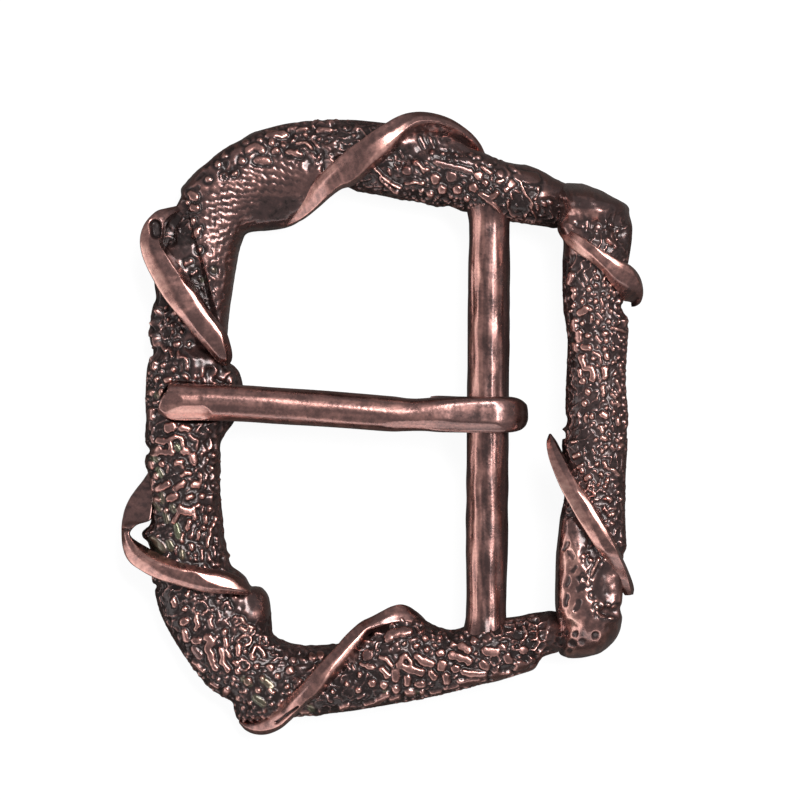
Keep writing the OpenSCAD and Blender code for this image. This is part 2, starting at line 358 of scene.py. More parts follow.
# Patches of the casting's face, and the kind of relief that each has.
PATCHES = [
    # x, y, reach, kind
    (16.5, 23.6, 2.0, "plain"),
    (17.5, 21.5, 1.8, "curls"),
    (14.6, 22.0, 2.2, "web"),
    (13.5, 24.8, 2.0, "plain"),
    (9.6, 24.0, 2.8, "beads"),
    (9.0, 26.6, 1.8, "plain"),
    (5.5, 24.5, 3.0, "beads"),
    (4.0, 28.0, 2.2, "plain"),
    (2.0, 25.8, 1.8, "curls"),
    (1.0, 23.6, 1.8, "lumps"),
    (-2.0, 23.8, 1.6, "curls"),
    (-3.0, 28.5, 2.0, "curls"),
    (-6.0, 28.8, 2.2, "lumps"),
    (-9.0, 28.5, 1.8, "beads"),
    (-7.0, 26.6, 2.0, "lumps"),
    (-14.0, 27.2, 1.8, "plain"),
    (-18.0, 25.4, 2.0, "plain"),
    (-8.0, 24.5, 2.4, "scales"),
    (-12.5, 23.5, 2.8, "scales"),
    (-16.5, 20.5, 2.8, "scales"),
    (-16.0, 16.5, 2.4, "scales"),
    (-15.5, 12.5, 2.2, "scales"),
    (-10.5, 21.0, 2.0, "plain"),
    (-19.8, 19.5, 1.6, "curls"),
    (-19.8, 16.5, 1.6, "plain"),
    (-18.0, 13.0, 2.0, "curls"),
    (-21.5, 9.0, 2.2, "lumps"),
    (-18.5, 7.5, 2.2, "plain"),
    (-21.0, 3.5, 2.4, "beads"),
    (-17.0, 3.5, 2.0, "lumps"),
    (-21.0, -2.5, 3.0, "curls"),
    (-17.5, -4.5, 2.4, "lumps"),
    (-21.0, -8.0, 3.0, "curls"),
    (-17.5, -10.0, 2.6, "lumps"),
    (-21.0, -13.0, 2.6, "beads"),
    (-19.5, -19.0, 3.0, "curls"),
    (-15.5, -18.5, 2.4, "lumps"),
    (-12.5, -18.0, 1.6, "plain"),
    (-16.5, -23.5, 3.0, "beads"),
    (-12.5, -22.5, 2.8, "curls"),
    (-11.5, -27.0, 2.8, "beads"),
    (-7.0, -24.0, 2.4, "lumps"),
    (-2.5, -26.0, 3.0, "curls"),
    (1.5, -22.0, 2.6, "lumps"),
    (3.0, -25.5, 2.8, "beads"),
    (7.5, -24.0, 3.0, "beads"),
    (12.5, -24.0, 2.6, "plateaus"),
    (15.0, -21.5, 2.2, "web"),
    (17.5, -21.0, 2.0, "plain"),
]


def face_relief(q, seen, patches):
    """Height of the relief from 0 to 1, and its depth: the patches' kinds, each weighed by how near it is.

    q are the places with the face laid out flat, and seen the places as seen from above."""
    weights = {}
    for x, y, reach, kind in patches:
        d2 = ((q[..., 0] - x) ** 2 + (q[..., 1] - y) ** 2) / reach**2
        weights[kind] = weights.get(kind, 0) + np.exp(-3 * d2)
    total = sum(weights.values()) + 1e-9
    height, depth = 0, 0
    for kind, weight in weights.items():
        share = weight / total
        height = height + share * KINDS[kind](seen if kind == "scales" else q)
        depth = depth + share * DEPTHS[kind]
    return height, depth


# Pebbles, ridges and worms, listed one by one: half width, then the places that each runs through,
# in the picture's pixels. TALL ones stand as high as the casting's face, LOW ones are sunk a little.
TALL = [
    (2.6, 165, 380, 170, 380), (3.2, 160.3, 392.2), (3.4, 149, 392.4), (3.6, 149.5, 411, 149.3, 417),
    (4.8, 168, 428.5, 172.5, 426.5), (3.4, 182.5, 428, 188.5, 428.5), (3.5, 157.5, 441, 163, 441.5),
    (2.2, 167, 441, 170, 439, 176.7, 436.7, 182.3, 439.5, 183.2, 444.7), (2.8, 170.6, 444, 171, 452),
    (4.2, 152.5, 453, 157.5, 450.5), (2.8, 160, 452, 172, 452.5), (3.2, 183.5, 451, 188.5, 451.5),
    (4, 193.5, 457, 195.5, 462), (3, 216, 455), (3, 150, 463.5, 150, 467), (3.3, 161.7, 464.3),
    (2.9, 176.5, 463, 181, 462.5), (1.5, 181, 463, 184, 467), (2.2, 182.7, 475.5, 186, 472.7, 191, 473.6),
    (3.4, 154.5, 476.4), (3.3, 149.5, 481, 149.3, 488), (3.7, 156.6, 489, 166.9, 484.3),
    (3.2, 175.7, 488.5, 184, 482.5), (4, 196, 484.5, 199, 484.5), (1.9, 201.4, 474.5, 201.2, 483),
    (3.6, 168.7, 498.8, 175.7, 495.5), (2.3, 188, 497, 192.5, 496),
    (3.2, 203.7, 496), (2.8, 153.5, 500, 157, 499.5),
    (2.5, 165.4, 511), (4, 180.3, 509.3, 189.7, 512),
    (1.8, 190, 510, 199, 504.7), (2.2, 194.3, 509.3, 195.7, 518.7),
    (2.6, 189.7, 521.5, 187.8, 528), (1.8, 183, 534.5, 182, 541), (2.3, 179, 511, 177, 516, 173, 522.4),
    (2.6, 192.5, 544.8, 192.5, 548.5), (3, 204.6, 528),
    (1.8, 199.5, 532.7, 198.5, 539.2), (2.4, 206.5, 517, 206.7, 521),
    (2.8, 211, 508.4), (1.7, 217.7, 517.7, 214.9, 524.3, 211, 529, 211, 535.5, 208.3, 541, 208.8, 546.7),
    # below the lower left vine
    (2.8, 172.5, 600, 173, 606), (2.7, 184.8, 609.2),
    (3.8, 181.5, 622.5, 185.5, 621.5), (3.9, 183.5, 633, 185, 639),
    (1.3, 189, 590, 188, 596, 185, 595), (2.3, 196, 617, 196, 622, 199, 624, 195, 629), (3, 225, 631.6),
    (3.8, 207, 638, 211, 642, 207, 648, 210, 654, 211, 661, 214.5, 668), (1.7, 209.7, 635.7, 214, 641.3),
    (2.4, 225, 639.5, 226.5, 646), (2.8, 221, 649.7, 222.8, 655.3, 222, 662.8, 224.7, 664.7, 228, 670.3),
    (1.7, 226.5, 650.7, 229.3, 656.3), (3.8, 193.5, 641.3, 197.5, 641), (2.5, 191, 664.7, 202, 672),
    (2.5, 209, 685.5, 215, 688.5), (4.2, 225, 692.7),
    (1.2, 237.7, 640.4, 243.3, 635.7, 250.8, 637.6, 250.3, 643.2, 245.2, 646),
    (1.6, 251.3, 654.4, 257.3, 646, 262.9, 650.7, 265.3, 655.3), (2.6, 253.6, 657.2), (1.6, 264.8, 640.9),
    (2.2, 251.3, 631), (1.5, 241.8, 627.3, 245.2, 631),
    (2, 236.8, 620.8), (1.2, 241.5, 617, 247, 624.5, 255.5, 628.3),
    (3, 239, 646, 238.5, 654), (2.2, 245.2, 650.7), (3.5, 236, 662.8), (3, 237.7, 671.2), (2.8, 256.4, 666.5),
    (3.5, 270.4, 666.5), (4, 247.5, 681.9), (2.6, 262.5, 678.2), (2.6, 277.9, 675.4), (2.7, 257.3, 690.3),
    (2, 270, 689, 273, 692.5), (2.6, 248.9, 703.4), (2.5, 286.3, 686), (2.2, 235.9, 700),
    # lower rail
    (4, 290.3, 669.3), (4, 311.7, 655.3), (4, 320, 653.5), (2.2, 366, 665, 372.5, 667), (1.5, 360, 663, 365, 665),
    (3, 359.3, 674), (2.7, 347.2, 683.3), (2, 332.7, 692.2),
    (3.3, 358.9, 690.3), (4, 371.9, 683.3), (3.7, 383.6, 685.2),
    (4, 395.7, 690.3), (3.3, 382, 669, 387, 674.5),
    (3.9, 407.5, 678, 407.3, 682.5), (4.2, 395.7, 671, 395.7, 678.7),
    (2.2, 392, 664.7, 385.5, 658, 380, 656.3), (3.3, 398.5, 664.7, 402.3, 657.2, 405, 654.4),
    (4.4, 405, 666.5, 412.5, 669.3, 420.3, 672),
    (2, 408.8, 657.2, 411.6, 662.8), (3, 416.5, 644.4), (2, 404, 642.3),
    (2.8, 427.2, 647.6), (3.8, 418, 655.5, 422, 660), (4.5, 424, 660.5, 430, 662), (3.4, 439, 651.5, 442, 651),
    (4.3, 440.5, 666.5, 442.5, 662.5), (2.9, 452.3, 642.3), (3.9, 461, 644.5, 468, 648.5), (3.8, 473.6, 638.5),
    (1.8, 460.8, 634.8), (3, 425.6, 636), (4.2, 451.2, 654, 459.7, 656, 468.3, 660.4), (4.6, 455.5, 668),
    (3.6, 464, 672, 474.7, 674.3, 484.3, 675.3), (3.5, 430.5, 672, 433.5, 677), (3.5, 418, 685, 422.5, 684.5),
    (3.9, 445.5, 676.5, 446.5, 681.5), (3.2, 407, 693.5, 413.5, 693.5),
    (2.3, 422.4, 694), (1.6, 431, 694.5, 441, 692.5),
    (1.6, 444.8, 689.7, 485.3, 681.7), (3, 459.7, 682.8, 478.9, 680.7), (4.6, 485.3, 649.7, 495, 651),
    (4.6, 483, 663.6, 486, 666), (4, 502.4, 645.5), (4.5, 507.7, 656, 509, 661), (4.6, 525.9, 664.7, 516, 667),
    (4.6, 523.7, 649.7), (4, 532.3, 660.4),
    (1.2, 524.3, 624, 526.4, 632.7, 521.6, 642.3), (2.4, 366, 706.5, 376, 703.5),
    (3.4, 378, 702, 387, 696), (2.6, 391, 700, 399, 698),
    (2.4, 341, 709.5, 348, 706.5), (2.2, 301, 714.5, 308, 714.5),
    (5, 388, 636, 393, 632, 408, 629.5),
    # upper left strip, and the knobs along the fold
    (3.6, 242, 160.5), (3.4, 234.5, 172), (3.5, 248, 149, 255, 145.5, 262, 150), (3.8, 257, 160, 267, 161),
    (2.8, 271, 139, 271, 142), (3.4, 275.5, 150.5),
    (3, 289, 152, 296, 153), (3.6, 267, 133, 283, 131.5), (2.4, 259, 139),
    (3.4, 245, 141), (3.4, 217, 163), (3, 224, 154),
    (2.4, 305, 134), (2.4, 317, 129, 330, 129), (1.6, 297, 129, 307, 127),
    (2, 289, 126.5, 296, 126.5), (1.4, 297, 143, 306, 143, 312, 149),
    (4, 190, 194, 195, 197), (3.4, 191, 208, 196, 208),
    (3.2, 193, 221), (3.2, 194, 235, 197, 233),
    (1.6, 198, 232, 200, 228), (3, 200, 250), (2.6, 185.5, 202), (3, 208, 179),
    # left of the fold and below the upper left vine
    (2, 185, 263.5, 192, 261), (1.6, 193, 274, 198, 271), (2, 160, 298),
    (1.8, 160, 305), (2, 164.5, 319), (2.2, 178.5, 319.5),
    (1.8, 171, 332), (1.8, 181, 332), (2.8, 173, 344.5, 178, 344.5),
    (2, 190, 344.5), (1.5, 152, 346, 161, 351, 167, 350, 171, 356),
    (1.5, 178, 352, 177.5, 357, 185, 357.5, 187.5, 368),
    (2.6, 173, 369), (2.4, 153, 362, 152, 368), (2.2, 156, 379),
    # upper rail
    (2.6, 432, 152), (2.2, 443, 153), (2, 457, 153),
    (2, 471.5, 153.5), (3.2, 415.5, 163.5), (1.4, 419, 165, 424, 173),
    (2.6, 426, 171), (5.2, 435.3, 180.5), (4.6, 442, 191.5),
    (4.8, 457, 191), (4.8, 472.6, 189.2), (4.6, 478, 176),
    (3.4, 484.5, 184), (2, 482, 167, 490, 173),
    (2.4, 498, 182.5, 501.5, 181), (3.8, 511.5, 183.5, 510, 186), (3, 506, 190.5),
    (2.8, 481, 196, 487, 199.5, 491, 199, 496.5, 194), (2.6, 487, 201, 494, 208), (1.2, 492, 205, 500, 214),
    (3, 466, 200.5), (1.2, 405, 186, 413, 184, 421, 186), (2.6, 422, 185), (3.4, 429.5, 196.5),
    (1.3, 374, 169, 383, 179, 392, 186, 401, 190),
    (1.1, 379, 178, 385, 186, 397, 196), (1.3, 508, 202, 510, 216, 520, 220),
    (1.3, 520, 182, 526, 196, 531, 202, 531, 210, 524, 219), (1.2, 533, 214, 536, 220), (1.2, 539, 188, 536, 200),
    (1.4, 510, 165, 520, 174), (1.4, 475, 157, 480, 157),
    # keeper
    (3, 569, 276, 566, 283), (3.4, 571, 291), (2.4, 571, 296, 571, 306),
    (2.2, 580, 302), (3.6, 584, 310, 578, 314), (1.8, 568, 312),
    (3, 572, 322, 571, 330), (3.8, 577, 334, 576, 339), (3, 572, 345, 573, 349),
    (2.2, 580, 324), (2.6, 586, 336), (2.8, 581, 347.5, 588, 348.5),
    (3.6, 579, 358, 581, 364), (3, 583, 368, 590, 370, 591, 379), (3.4, 580.5, 381), (1.8, 577, 370, 578, 376),
    (2.4, 587, 290), (2.2, 595, 302), (1.9, 607.5, 298), (2.2, 589, 310), (2, 601.5, 311.5), (1.9, 610.5, 311.5),
    (2.4, 596.5, 322.5), (2.1, 608, 322.5), (2, 618.5, 323),
    (1.4, 612, 328, 625, 332), (2.6, 604, 334), (2.4, 605.5, 341),
    (2, 604, 349.5), (2.6, 606, 355, 606, 358), (1.9, 612.5, 350),
    (2, 592, 359), (3.2, 604, 369, 604, 376), (2.4, 602, 388, 602, 394),
    (3.2, 586, 392), (3, 582.5, 404), (1.8, 584, 415, 583, 420),
    (2.4, 590, 416), (2.8, 601, 414, 605, 416), (2.6, 599, 427, 601, 431),
    (1.7, 605.5, 426), (1.8, 605.5, 407.5), (2.2, 617, 402, 619, 405),
    (1.3, 611, 394, 615, 398), (2, 618, 419, 618.5, 424),
    (2.6, 602, 437, 604, 438.5), (2.1, 617, 440), (1.9, 621.5, 437.5),
    (1.9, 594, 439), (1.9, 605.5, 447), (1.9, 601, 450),
    (2, 619.5, 448, 622, 445), (1.6, 570, 441, 574, 441.5), (2, 572, 456, 577, 454),
    (1.7, 576, 467, 581, 464), (2.2, 584, 478, 588, 476),
    (2, 596, 464), (1.4, 603, 462, 606, 467, 613, 470, 619, 475),
    (2, 600.5, 474), (2, 606.5, 480), (1.9, 604.5, 486), (2, 618, 492),
    (1.9, 621, 499), (2.6, 606, 497.5, 609, 498.5), (2.2, 613, 513.5),
    (1.7, 608, 514), (1.7, 616, 381, 619, 388, 620, 392),
    (1.5, 590, 573, 598, 558), (1.9, 587, 583), (1.8, 591, 594),
    (2.2, 596, 606), (1.8, 597, 612, 604, 616), (1.8, 612, 617),
    (1.8, 609, 604.5), (1.6, 616, 606),
]
LOW = [
    (3, 154.5, 380), (3.8, 166, 397, 166, 400), (1.3, 152, 402.5, 156, 403), (1.8, 147.5, 422, 147.5, 429),
    (1.2, 152, 428, 150.5, 433), (2.4, 149, 437, 151.5, 442),
    (1.4, 190.7, 435.3, 194.4, 439, 198.6, 442, 198, 449),
    (1.1, 209, 429.7, 213, 433.5), (1.2, 167, 465, 168, 472),
    (1.8, 207, 486.7), (1.2, 216.3, 486), (2.3, 152.3, 511.7),
    (1.7, 156, 524.8, 161.5, 524.5), (1.7, 156.5, 536), (1.8, 170.5, 533.6), (1.3, 176.6, 546.7, 175.2, 553),
    (1.4, 203.5, 550, 202.5, 559), (1.3, 215.5, 546, 217, 556),
    (1.1, 218, 537, 219.5, 545), (1.2, 224.7, 602.7, 223.3, 608.3),
    (1.3, 228.4, 601.7, 230.7, 608.3), (2, 212, 616), (2, 209.5, 620, 212.5, 627),
    (2, 216.7, 637), (4, 192.5, 650, 197.6, 657),
    (2.2, 242.4, 659), (1.2, 300, 649.7), (4.5, 366.8, 653.5),
    (1.2, 377, 641, 375, 645, 377, 649), (1, 351, 664, 354, 669),
    (1, 346, 663, 349, 669), (1.2, 350, 709, 362, 709), (2.2, 320, 714),
    (1.1, 322, 692.7, 331.8, 703), (1.2, 358, 700, 364, 696),
    (4, 293, 659), (1.1, 507.7, 642.3, 505, 647.6, 508.8, 654, 515.2, 659.3, 520.5, 668),
    (3, 299, 155), (1.8, 318, 139), (1.8, 335, 129), (1.6, 345, 126),
    (1.8, 354, 135), (1.6, 326, 141), (5, 407, 172), (5.5, 451, 178),
    (3, 438, 164, 470, 172), (3, 436, 163, 444, 166), (4, 500, 174),
    (6, 520, 176, 535, 178), (3, 545, 205), (2.5, 551, 203),
    (1.2, 421, 137, 425, 146), (1.2, 430, 136, 434, 145), (1.5, 444, 135, 448, 135),
    (1.4, 400, 152, 403, 158), (1.8, 389, 172, 389, 176),
    (3, 577, 224), (2, 584, 222, 584, 230), (3, 595, 230, 597, 226),
    (3, 614, 223), (3, 614, 236, 616, 246), (2.4, 607, 240, 612, 244),
    (2.4, 622, 232), (2, 621, 238), (1.4, 600, 300, 602, 306),
    (1.4, 596, 314, 601, 319), (1.4, 592, 353, 598, 356, 600, 362),
    (1.4, 595, 338, 599, 343), (1.4, 618, 347, 621, 349),
    (1.6, 612, 390), (1.4, 615, 392, 618, 396), (1.6, 611, 402, 613, 404),
    (2.2, 612, 446, 614, 448), (1.3, 611, 427, 613, 430), (1.4, 591, 449, 593, 453),
    (2.6, 580, 470), (1.5, 598, 484), (1.5, 614, 485, 619, 484),
    (1.5, 603, 507, 607, 511), (1.5, 610, 508, 616, 508), (2, 612, 523), (1.6, 621, 541, 622, 545),
]
# Thin rings: half width, radius, and the middle.
RINGS = [
    (1.1, 6.8, 200, 608), (1.1, 5, 244.3, 665.6), (1.1, 4.6, 264.8, 640.9),
    (1.0, 4.8, 251.3, 631), (1.0, 4.4, 236.8, 620.8),
    (1.1, 6, 496.5, 628.4), (1.1, 5.4, 494.9, 659.3), (1.0, 3.6, 515.7, 646),
    (1.0, 3.4, 223.5, 175), (1.1, 5, 156, 323),
    (1.0, 4, 583, 578), (1.0, 7.6, 162, 332), (1.0, 5, 366.8, 653.5),
]
# Pits: half width, then the places that each runs through.
PITS = [
    (4, 166, 607), (4.5, 212, 601), (3.5, 525.9, 658.3), (3.6, 515.2, 654),
    (5, 517.3, 632.7), (3, 529, 639), (3, 502, 669, 511, 667),
    (1.6, 197, 178, 203, 173), (1.6, 193, 189, 198, 187), (1.4, 205, 166, 208, 163),
    (1.6, 186, 197), (1.4, 264, 132), (1.6, 222, 169, 226, 162),
    (2.2, 231, 147, 226, 150), (2, 236, 167, 229, 172), (3.6, 512, 212, 513, 206),
    (5, 520, 204, 525, 211), (4.4, 533, 194), (3, 500, 203),
    (2, 561, 634), (2.1, 565.4, 632.4), (2.6, 573.5, 633.3), (3, 594.4, 634.6),
    (3.2, 580.8, 641.4), (3.6, 571.4, 643.5), (2.4, 559, 640, 562, 645),
    (2, 556, 645), (2.6, 569, 651), (1.8, 563, 548, 566, 543), (2.4, 570, 556, 568, 551),
    (1.8, 567, 577, 565, 583), (1.8, 564, 603, 566, 594),
    (2.4, 574, 608, 578, 600), (2.8, 577, 588, 581, 584), (1.8, 571, 570, 574, 566), (2.4, 577, 577),
    (2.4, 575, 302), (2.2, 575, 285), (2, 581, 331), (2.2, 569, 302), (2.4, 572, 363),
]
# Broad hollows: half width, depth in millimetres, then the places that each runs through.
HOLLOWS = [
    (16, 0.35, 268, 208, 288, 210), (10, 0.7, 577, 224, 597, 226),
    (10, 0.8, 615, 226, 622, 236), (12, 0.6, 605, 575, 605, 592),
    (11, 0.4, 578, 520, 590, 545), (6, 0.6, 604, 611, 614, 611),
    (9, 0.5, 400, 160, 430, 143, 462, 148), (7, 0.5, 242, 710),
    (8, 0.5, 539, 624), (7, 0.4, 285, 134), (6, 0.4, 226, 168),
    (8, 0.15, 205, 345), (5, 0.25, 160, 218, 168, 240),
]
# Places painted lighter or darker than the relief alone makes them: half width, change of tone, then the
# places that each runs through. The darker ones are painted shade, over hollows and over faces that would
# catch the strip light; the lighter ones are rubbed wear on ridges, and on the keeper's left side a painted
# reflection of the side light.
WEAR_AND_PAINTED_LIGHT = [
    (12, -0.22, 262, 214, 292, 210), (6, -0.2, 176, 225, 200, 285, 215, 315), (9, -0.15, 405, 150, 460, 152),
    (12, -0.2, 572, 194, 615, 206),
    (2.6, 0.3, 563, 218, 573, 211, 588, 212, 595, 216), (8, -0.15, 577, 226, 597, 230),
    (3.5, 0.25, 563, 536, 575, 560), (9, 0.2, 566, 552, 568, 600, 570, 625), (8, -0.32, 572, 508, 590, 548),
    (8, -0.18, 604, 570, 602, 594), (6, 0.25, 576, 624), (3, 0.3, 566, 652, 592, 652), (7, -0.1, 612, 635),
    (6, -0.2, 166, 225, 170, 240), (8, -0.15, 160, 300, 165, 340, 190, 365), (5, 0.12, 232, 250, 230, 330),
    (7, -0.22, 196, 362, 222, 364), (4, -0.2, 247, 598, 249, 612),
]
# The step along which the left side is folded under the scales: the picture's pixels, downwards.
FOLD = [
    (184, 196), (186, 205), (188, 214), (193, 228), (198, 244), (204, 262), (212, 290), (219, 315),
    (224, 345),
]
# Chips of green corrosion in the gaps: half width, how green, then the places that each runs through.
VERDIGRIS = [
    (3, 0.5, 157, 395), (2.2, 0.8, 177, 446, 178.5, 449), (2.4, 0.6, 152, 458, 156, 460),
    (2, 1.0, 157.5, 469.5, 161, 475.5), (2.2, 0.5, 161, 495, 162.5, 502),
    (1.6, 0.7, 149.5, 500.5, 159.5, 509.5), (2.6, 0.5, 172, 507, 174, 510), (2.2, 0.6, 165, 514, 167, 521),
    (2.4, 1.0, 176.5, 525.5, 178.5, 536.5), (3, 0.7, 169, 543, 171, 548), (4.5, 0.5, 152, 541, 161, 549),
    (2.2, 0.7, 182, 552, 182.5, 557), (2.4, 0.6, 243, 679, 250, 684), (3, 0.6, 263, 679, 271, 686),
    (3, 0.6, 255, 698, 263, 704), (2.6, 0.7, 310, 707, 312, 710), (2, 0.5, 385, 690), (2, 0.5, 417, 692),
    (2.5, 0.35, 214, 270), (2, 0.35, 202, 280),
]


def in_millimetres(spots, half):
    """The path through the places of a table's row, and its half width, both from the picture's pixels."""
    return plan(np.reshape(spots, (-1, 2))), half / PIXELS_PER_MM


def away(q, path):
    """How far each point of q is from a path of points."""
    near = np.linalg.norm(q - path[0], axis=1)
    for a, b in zip(path[:-1], path[1:]):
        way = b - a
        t = np.clip((q - a) @ way / (way @ way), 0, 1)
        near = np.minimum(near, np.linalg.norm(q - a - t[:, None] * way, axis=1))
    return near


def around(q, path, reach):
    """The numbers of the points of q that may be within reach of a path."""
    low, high = path.min(axis=0) - reach, path.max(axis=0) + reach
    return np.flatnonzero((q[:, 0] > low[0]) & (q[:, 0] < high[0]) & (q[:, 1] > low[1]) & (q[:, 1] < high[1]))


def stamped(q, height):
    """The relief with the listed shapes.

    Each raised one has a valley round it, and the pits are cut last."""
    raised, clear, holed = np.zeros(len(q)), np.ones(len(q)), np.ones(len(q))
    uneven = 0.02 * waves(q, 0.55, 99) + 0.02 * waves(q, 1.1, 98)
    q = q + 0.03 * np.stack([waves(q, 1.0, 96), waves(q, 1.0, 97)], -1)
    chips = [(half, *spots) for half, _, *spots in VERDIGRIS]
    for top, table in ((1.0, TALL), (0.68, LOW), (0.5, chips)):
        for half, *spots in table:
            path, half = in_millimetres(spots, half)
            if len(path) > 2:
                path = between(path, 4)
            at = around(q, path, half + 0.6)
            d = away(q[at], path) + uneven[at]
            crown = 1 - 0.09 * np.clip(d / half, 0, 1) ** 2
            raised[at] = np.maximum(raised[at], top * crown * ease((half + 0.13 - d) / 0.2))
            clear[at] = np.minimum(clear[at], ease((d - half - 0.03) / 0.5))
    for half, radius, x, y in RINGS:
        path, half = in_millimetres((x, y), half)
        radius = radius / PIXELS_PER_MM
        at = around(q, path, radius + 0.5)
        d = away(q[at], path) + 2 * uneven[at] - radius
        raised[at] = np.maximum(raised[at], 0.85 * ease((half + 0.06 - np.abs(d)) / 0.15))
        clear[at] = np.minimum(clear[at], ease((d - half) / 0.3))
    for half, *spots in PITS:
        path, half = in_millimetres(spots, half)
        at = around(q, path, half + 0.3)
        holed[at] = np.minimum(holed[at], ease((away(q[at], path) + uneven[at] - half + 0.06) / 0.2))
    return np.maximum(height * clear, raised) * holed


def hollowed(q):
    """How much deeper than the CAD's face the broad hollows go."""
    depth = np.zeros(len(q))
    for half, deep, *spots in HOLLOWS:
        path, half = in_millimetres(spots, half)
        at = around(q, path, 1.6 * half)
        depth[at] = np.maximum(depth[at], deep * ease((1.6 * half - away(q[at], path)) / (1.5 * half)))
    return depth


def wear_and_painted_light(q):
    """How much lighter or darker the plate is than its relief alone makes it: rubbed wear, painted shade and
    painted reflections.
    """
    change = np.zeros(len(q))
    for half, shift, *spots in WEAR_AND_PAINTED_LIGHT:
        path, half = in_millimetres(spots, half)
        at = around(q, path, 1.6 * half)
        change[at] += shift * ease((1.6 * half - away(q[at], path)) / (1.2 * half))
    return change


def folded(q):
    """How much lower the face is left of the fold."""
    x, y = plan(FOLD).T
    left = np.interp(q[:, 1], y[::-1], x[::-1]) - q[:, 0]
    return 0.7 * ease(left / 0.35) * ease((y[0] + 0.5 - q[:, 1]) / 1.2) * ease((q[:, 1] - y[-1] + 1.5) / 1.5)


def smeared(values, reach):
    """Mean of the grid's numbers over a square of 2 reach + 1 points a side."""
    for axis in (0, 1):
        values = sum(np.roll(values, k, axis) for k in range(-reach, reach + 1)) / (2 * reach + 1)
    return values


# Rim

# Rim, from the keeper's upper foot round the left side to its lower foot: places on its outer and on its
# inner edge, in the picture's pixels.
RIM = [
    # outer x, outer y, inner x, inner y
    (581.5, 191.5, 581.5, 220.5), (556, 178.8, 557, 228), (543, 171.3, 546, 227), (530, 166.2, 533, 225.7),
    (516, 163.6, 519, 223.6), (503, 160.2, 501, 221), (488, 154.6, 485, 217.5), (472, 148, 469, 213),
    (458, 139, 459, 211), (443.5, 132, 450, 207), (425, 128, 436, 207.5), (409.5, 125.5, 418, 202.6),
    (390, 123.5, 400, 200.4), (371, 121.2, 380, 196), (352, 119.4, 358, 192.4), (334, 119, 341, 187.8),
    (310, 120.3, 319.8, 204.8), (287, 123.3, 294, 225), (263, 129.5, 271, 230.6), (252, 133.7, 259, 231.4),
    (241.5, 139.3, 251, 232.5), (231, 145, 247, 234), (221, 151.2, 244, 238), (203.2, 165.8, 240, 250),
    (194.2, 174.2, 238.3, 258), (187.2, 181.2, 237, 266), (181.2, 188.5, 235.5, 274), (180.5, 199, 233.8, 285),
    (172, 213, 232, 297), (161, 229, 230.5, 307), (156, 248, 229.3, 318), (155, 268, 228.3, 328),
    (155, 284, 227.6, 338), (156.2, 298, 228.5, 350), (152.6, 307, 229.4, 357), (149.3, 326, 231.5, 363.5),
    (149.2, 338, 234, 365), (152.8, 353, 238.8, 371), (149.2, 358.5, 240.8, 376), (146.6, 370, 242.4, 382),
    (145.4, 386, 243, 389), (144.9, 404, 241.5, 404), (145.4, 420, 234.5, 421), (144.4, 434, 228.5, 430),
    (145.2, 444, 223.5, 438), (149, 450.5, 221, 445), (145.2, 456, 221.6, 455), (144.3, 463, 221.2, 466),
    (147.4, 474, 221, 480), (148.8, 490, 221.6, 497), (150.2, 508, 222.8, 513), (149.8, 523, 224, 525),
    (142, 531, 225.2, 535), (142, 537, 226, 540), (148.6, 545, 227.2, 546), (151, 562, 229.8, 557.5),
    (151, 575, 233, 565.5), (152.3, 583, 239.5, 571), (155.8, 586, 246, 577), (154.3, 592, 251, 585.5),
    (158, 608, 256.5, 586), (162.5, 620, 262.8, 588), (173.5, 640.4, 269.2, 597), (188.4, 663, 272, 613),
    (198, 675.2, 273, 630), (206, 685.6, 277, 636), (213.8, 691.6, 285, 640.2), (221.8, 697, 295, 643),
    (231.5, 702.6, 303, 644.2), (233.8, 711, 309, 644.6), (238, 720, 315, 644.8), (250, 723, 321, 644.6),
    (280, 720, 333, 643.2), (303, 716.4, 346, 641.9), (319, 716.4, 356, 636.5), (326, 714.6, 365, 629.5),
    (352, 711.6, 383, 619), (366, 709.3, 396, 613), (400, 703.6, 417, 615.5), (430, 698, 438, 626),
    (446, 694.2, 453, 629), (463, 690, 462, 626.8), (499, 680.2, 490, 620), (523, 672.8, 517, 616),
    (534, 668.4, 530, 613.1), (540, 659.6, 543, 611.6), (547, 655, 554, 611), (581.5, 647.5, 581.5, 617.5),
]
# Height of the rim and the place of its highest line, from 0 at the outer edge to 1, at some rows of
# that table.
RIM_HEIGHTS = [
    # row, height, crest
    (0, 4.4, 0.5), (1, 5.2, 0.5), (3, 5.6, 0.5), (6, 5.7, 0.48), (12, 5.4, 0.46), (24, 5.4, 0.42),
    (39, 5.45, 0.4), (43, 5.5, 0.4), (50, 5.4, 0.42), (66, 5.4, 0.45), (78, 5.4, 0.52), (82, 5.6, 0.5),
    (86, 5.2, 0.5), (87, 4.4, 0.5),
]
# How high the rails' backs are arched.
ARCH = 2.0
# How high the outline's edge is above the back, and how far in from it the back starts.
EDGE = 0.8
DRAFT = 0.3
# The step between rings of points, and how many points go across the rim's face and its back.
FINE = 0.11
RIM_FACE, RIM_BACK = 128, 10

# The prong's middle line where its tip rests on the rim, and the half width of its seat.
TIP = (-21.9, 2.2, 5.0)
TIP_RISE = 0.0494
TIP_TURN = -0.045
SEAT_R = 2.0


def back_height(x):
    """Height of the back above the table: flat on the left side, arched under the rails."""
    return ARCH * ease((x + 13) / 16) * ease((20 - x) / 8)


